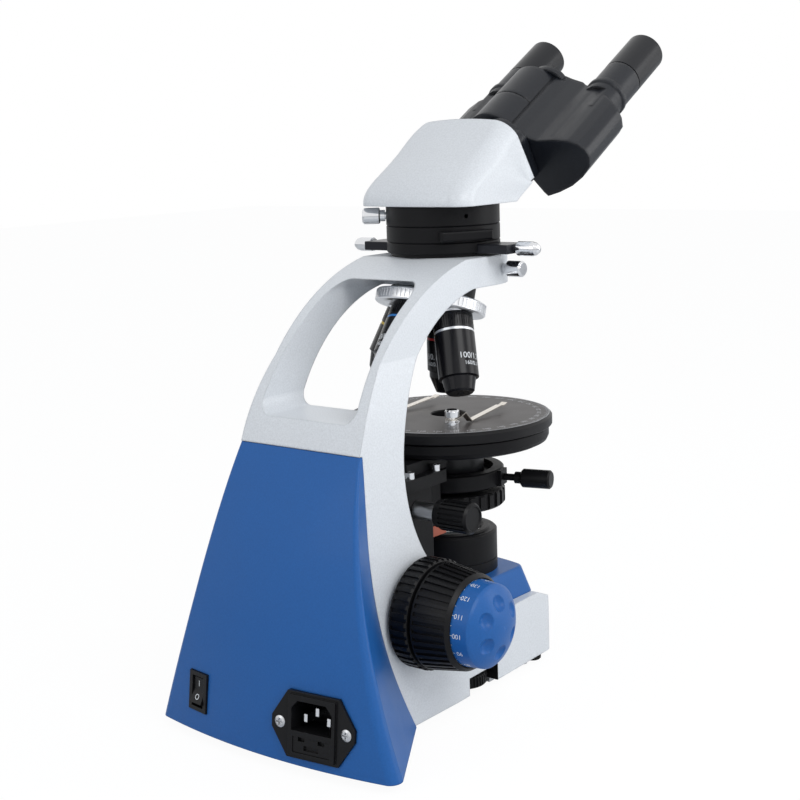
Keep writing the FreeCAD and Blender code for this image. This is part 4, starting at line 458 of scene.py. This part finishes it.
def block(name, low, high, look, body, bevel=0.3):
    """A block between two corners given in millimetres, with its edges taken off."""
    (x0, y0, z0), (x1, y1, z1) = low, high
    vertices, faces = [], []
    corners = [(x, y, z) for x in (0, 1) for y in (0, 1) for z in (0, 1)]
    for axis in range(3):
        for x, y, z in corners:
            spot = [x0 if x == 0 else x1, y0 if y == 0 else y1, z0 if z == 0 else z1]
            for other in range(3):
                if other != axis:
                    spot[other] += bevel if (x, y, z)[other] == 0 else -bevel
            vertices.append(at(*spot))

    def corner(axis, x, y, z):
        return axis * 8 + corners.index((x, y, z))

    for axis in range(3):
        one, two = [i for i in range(3) if i != axis]
        for side in (0, 1):
            face = []
            for a, b in ((0, 0), (1, 0), (1, 1), (0, 1)):
                spot = [0, 0, 0]
                spot[axis], spot[one], spot[two] = side, a, b
                face.append(corner(axis, *spot))
            faces.append(tuple(face))
        for a in (0, 1):
            for b in (0, 1):
                ends = []
                for side in (0, 1):
                    spot = [0, 0, 0]
                    spot[axis], spot[one], spot[two] = side, a, b
                    ends.append(tuple(spot))
                faces.append((corner(one, *ends[0]), corner(one, *ends[1]), corner(two, *ends[1]),
                              corner(two, *ends[0])))
    for spot in corners:
        faces.append(tuple(corner(axis, *spot) for axis in range(3)))
    made = piece(name, vertices, faces, look, body)
    tidy = bmesh.new()
    tidy.from_mesh(made.data)
    bmesh.ops.recalc_face_normals(tidy, faces=tidy.faces)
    tidy.to_mesh(made.data)
    tidy.free()
    return made


# The condenser slide runs on downwards beside the lamp drum and ends in a brown-red foot
TAIL_TOP = 106.8
block("slide_tail", (-17.0, 32.0, 96.9), (-9.4, 41.5, TAIL_TOP + 0.2), black, "condenser_lift")
block("slide_foot", (-17.6, 28.2, 91.0), (-9.0, 41.5, 97.1), terracotta, "condenser_lift")

# Painted shade: a thin black sheet lines the dimmer's slot so that it is dark inside
painted_shade_lining = Batch()
DIMMER_X, DIMMER_Y, ROOM = 30.3, 33.7, 14.1
SKIN = 0.06
SLOT_LOW, SLOT_HIGH = 6.2, 15.9
for y, y_next, x, x_next in ((DIMMER_Y + ROOM - SKIN, DIMMER_Y + ROOM - SKIN, -45.0, -DIMMER_X + ROOM - SKIN),
                             (DIMMER_Y - ROOM + SKIN, DIMMER_Y - ROOM + SKIN, -45.0, -DIMMER_X + ROOM - SKIN),
                             (DIMMER_Y - ROOM + SKIN, DIMMER_Y + ROOM - SKIN, -DIMMER_X + ROOM - SKIN,
                              -DIMMER_X + ROOM - SKIN)):
    painted_shade_lining.add([at(x, y, SLOT_LOW), at(x_next, y_next, SLOT_LOW),
                at(x_next, y_next, SLOT_HIGH), at(x, y, SLOT_HIGH)], [(0, 1, 2, 3)])
painted_shade_lining.done("dimmer_painted_shade_lining", knob_black, "stand")

# Floor, lights, background and camera
floor_mesh = bpy.data.meshes.new("floor")
floor_mesh.from_pydata([(-4, -4, 0), (4, -4, 0), (4, 4, 0), (-4, 4, 0)], [], [(0, 1, 2, 3)])
floor = bpy.data.objects.new("floor", floor_mesh)
bpy.context.scene.collection.objects.link(floor)
pale = bpy.data.materials.new("floor_pale")
pale.use_nodes = True
tree = pale.node_tree
tree.nodes.clear()
surface_out = tree.nodes.new("ShaderNodeOutputMaterial")
matt = tree.nodes.new("ShaderNodeBsdfDiffuse")
matt.inputs["Color"].default_value = (0.86, 0.87, 0.88, 1)
glow = tree.nodes.new("ShaderNodeEmission")
glow.inputs["Color"].default_value = (1, 1, 1, 1)
glow.inputs["Strength"].default_value = 1.03
eye = tree.nodes.new("ShaderNodeLightPath")
share = tree.nodes.new("ShaderNodeMath")
share.operation = "MULTIPLY"
share.inputs[1].default_value = 0.92
blend = tree.nodes.new("ShaderNodeMixShader")
tree.links.new(eye.outputs["Is Camera Ray"], share.inputs[0])
tree.links.new(share.outputs[0], blend.inputs[0])
tree.links.new(matt.outputs[0], blend.inputs[1])
tree.links.new(glow.outputs[0], blend.inputs[2])
tree.links.new(blend.outputs[0], surface_out.inputs["Surface"])
floor_mesh.materials.append(pale)

world = bpy.data.worlds.new("studio")
bpy.context.scene.world = world
world.use_nodes = True
tree = world.node_tree
tree.nodes.clear()
output = tree.nodes.new("ShaderNodeOutputWorld")
path = tree.nodes.new("ShaderNodeLightPath")
seen = tree.nodes.new("ShaderNodeBackground")
seen.inputs["Color"].default_value = (1, 1, 1, 1)
seen.inputs["Strength"].default_value = 1.0
lit = tree.nodes.new("ShaderNodeBackground")
lit.inputs["Color"].default_value = (0.93, 0.96, 1.0, 1)
# The light on the object is stronger from above
sky = tree.nodes.new("ShaderNodeTexCoord")
parts = tree.nodes.new("ShaderNodeSeparateXYZ")
rise = tree.nodes.new("ShaderNodeMapRange")
rise.inputs["From Min"].default_value = -0.4
rise.inputs["From Max"].default_value = 1.0
rise.inputs["To Min"].default_value = 0.24
rise.inputs["To Max"].default_value = 0.62
tree.links.new(sky.outputs["Generated"], parts.inputs[0])
tree.links.new(parts.outputs["Z"], rise.inputs["Value"])
tree.links.new(rise.outputs["Result"], lit.inputs["Strength"])
either = tree.nodes.new("ShaderNodeMath")
either.operation = "MAXIMUM"
mirror = tree.nodes.new("ShaderNodeMath")
mirror.operation = "MAXIMUM"
mix = tree.nodes.new("ShaderNodeMixShader")
tree.links.new(path.outputs["Is Camera Ray"], either.inputs[0])
tree.links.new(path.outputs["Is Transmission Ray"], either.inputs[1])
tree.links.new(either.outputs[0], mirror.inputs[0])
tree.links.new(path.outputs["Is Glossy Ray"], mirror.inputs[1])
tree.links.new(mirror.outputs[0], mix.inputs[0])
tree.links.new(lit.outputs[0], mix.inputs[1])
tree.links.new(seen.outputs[0], mix.inputs[2])
tree.links.new(mix.outputs[0], output.inputs["Surface"])


def lamp(name, spot, target, power, width, height):
    light = bpy.data.lights.new(name, "AREA")
    light.shape = "RECTANGLE"
    light.size = width
    light.size_y = height
    light.energy = power
    holder = bpy.data.objects.new(name, light)
    bpy.context.scene.collection.objects.link(holder)
    holder.location = spot
    holder.rotation_euler = (Vector(target) - Vector(spot)).to_track_quat("-Z", "Y").to_euler()
    return holder


MIDDLE = (0.0, 0.0, 0.17)
lamp("key_lamp", (-1.0, 0.35, 0.95), MIDDLE, 6.4, 0.7, 0.7)
lamp("rear_lamp", (0.35, 1.2, 0.75), MIDDLE, 2.2, 0.8, 0.8)
lamp("side_lamp", (-0.9, -0.7, 0.45), MIDDLE, 2.9, 0.5, 0.8)

# The camera's place and lens come from a fit of the stage, rings and tubes to the photograph
yaw, pitch, roll = math.radians(38.69), math.radians(-10.47), math.radians(1.92)
forward = Vector((math.sin(yaw) * math.cos(pitch), -math.cos(yaw) * math.cos(pitch), math.sin(pitch)))
level_right = Vector((-math.cos(yaw), -math.sin(yaw), 0))
level_up = level_right.cross(forward)
right = math.cos(roll) * level_right - math.sin(roll) * level_up
up = math.sin(roll) * level_right + math.cos(roll) * level_up
lens_data = bpy.data.cameras.new("camera")
SENSOR = 36.0
PHOTO_WIDTH = 800.0
FOCAL_PIXELS = 1481.17
lens_data.sensor_width = SENSOR
lens_data.lens = SENSOR * FOCAL_PIXELS / PHOTO_WIDTH
camera = bpy.data.objects.new("camera", lens_data)
bpy.context.scene.collection.objects.link(camera)
turn = Matrix((right, up, -forward)).transposed().to_4x4()
turn.translation = at(-505.96, 676.17, 318.05)
camera.matrix_world = turn
bpy.context.scene.camera = camera
bpy.context.scene.view_settings.view_transform = "Standard"
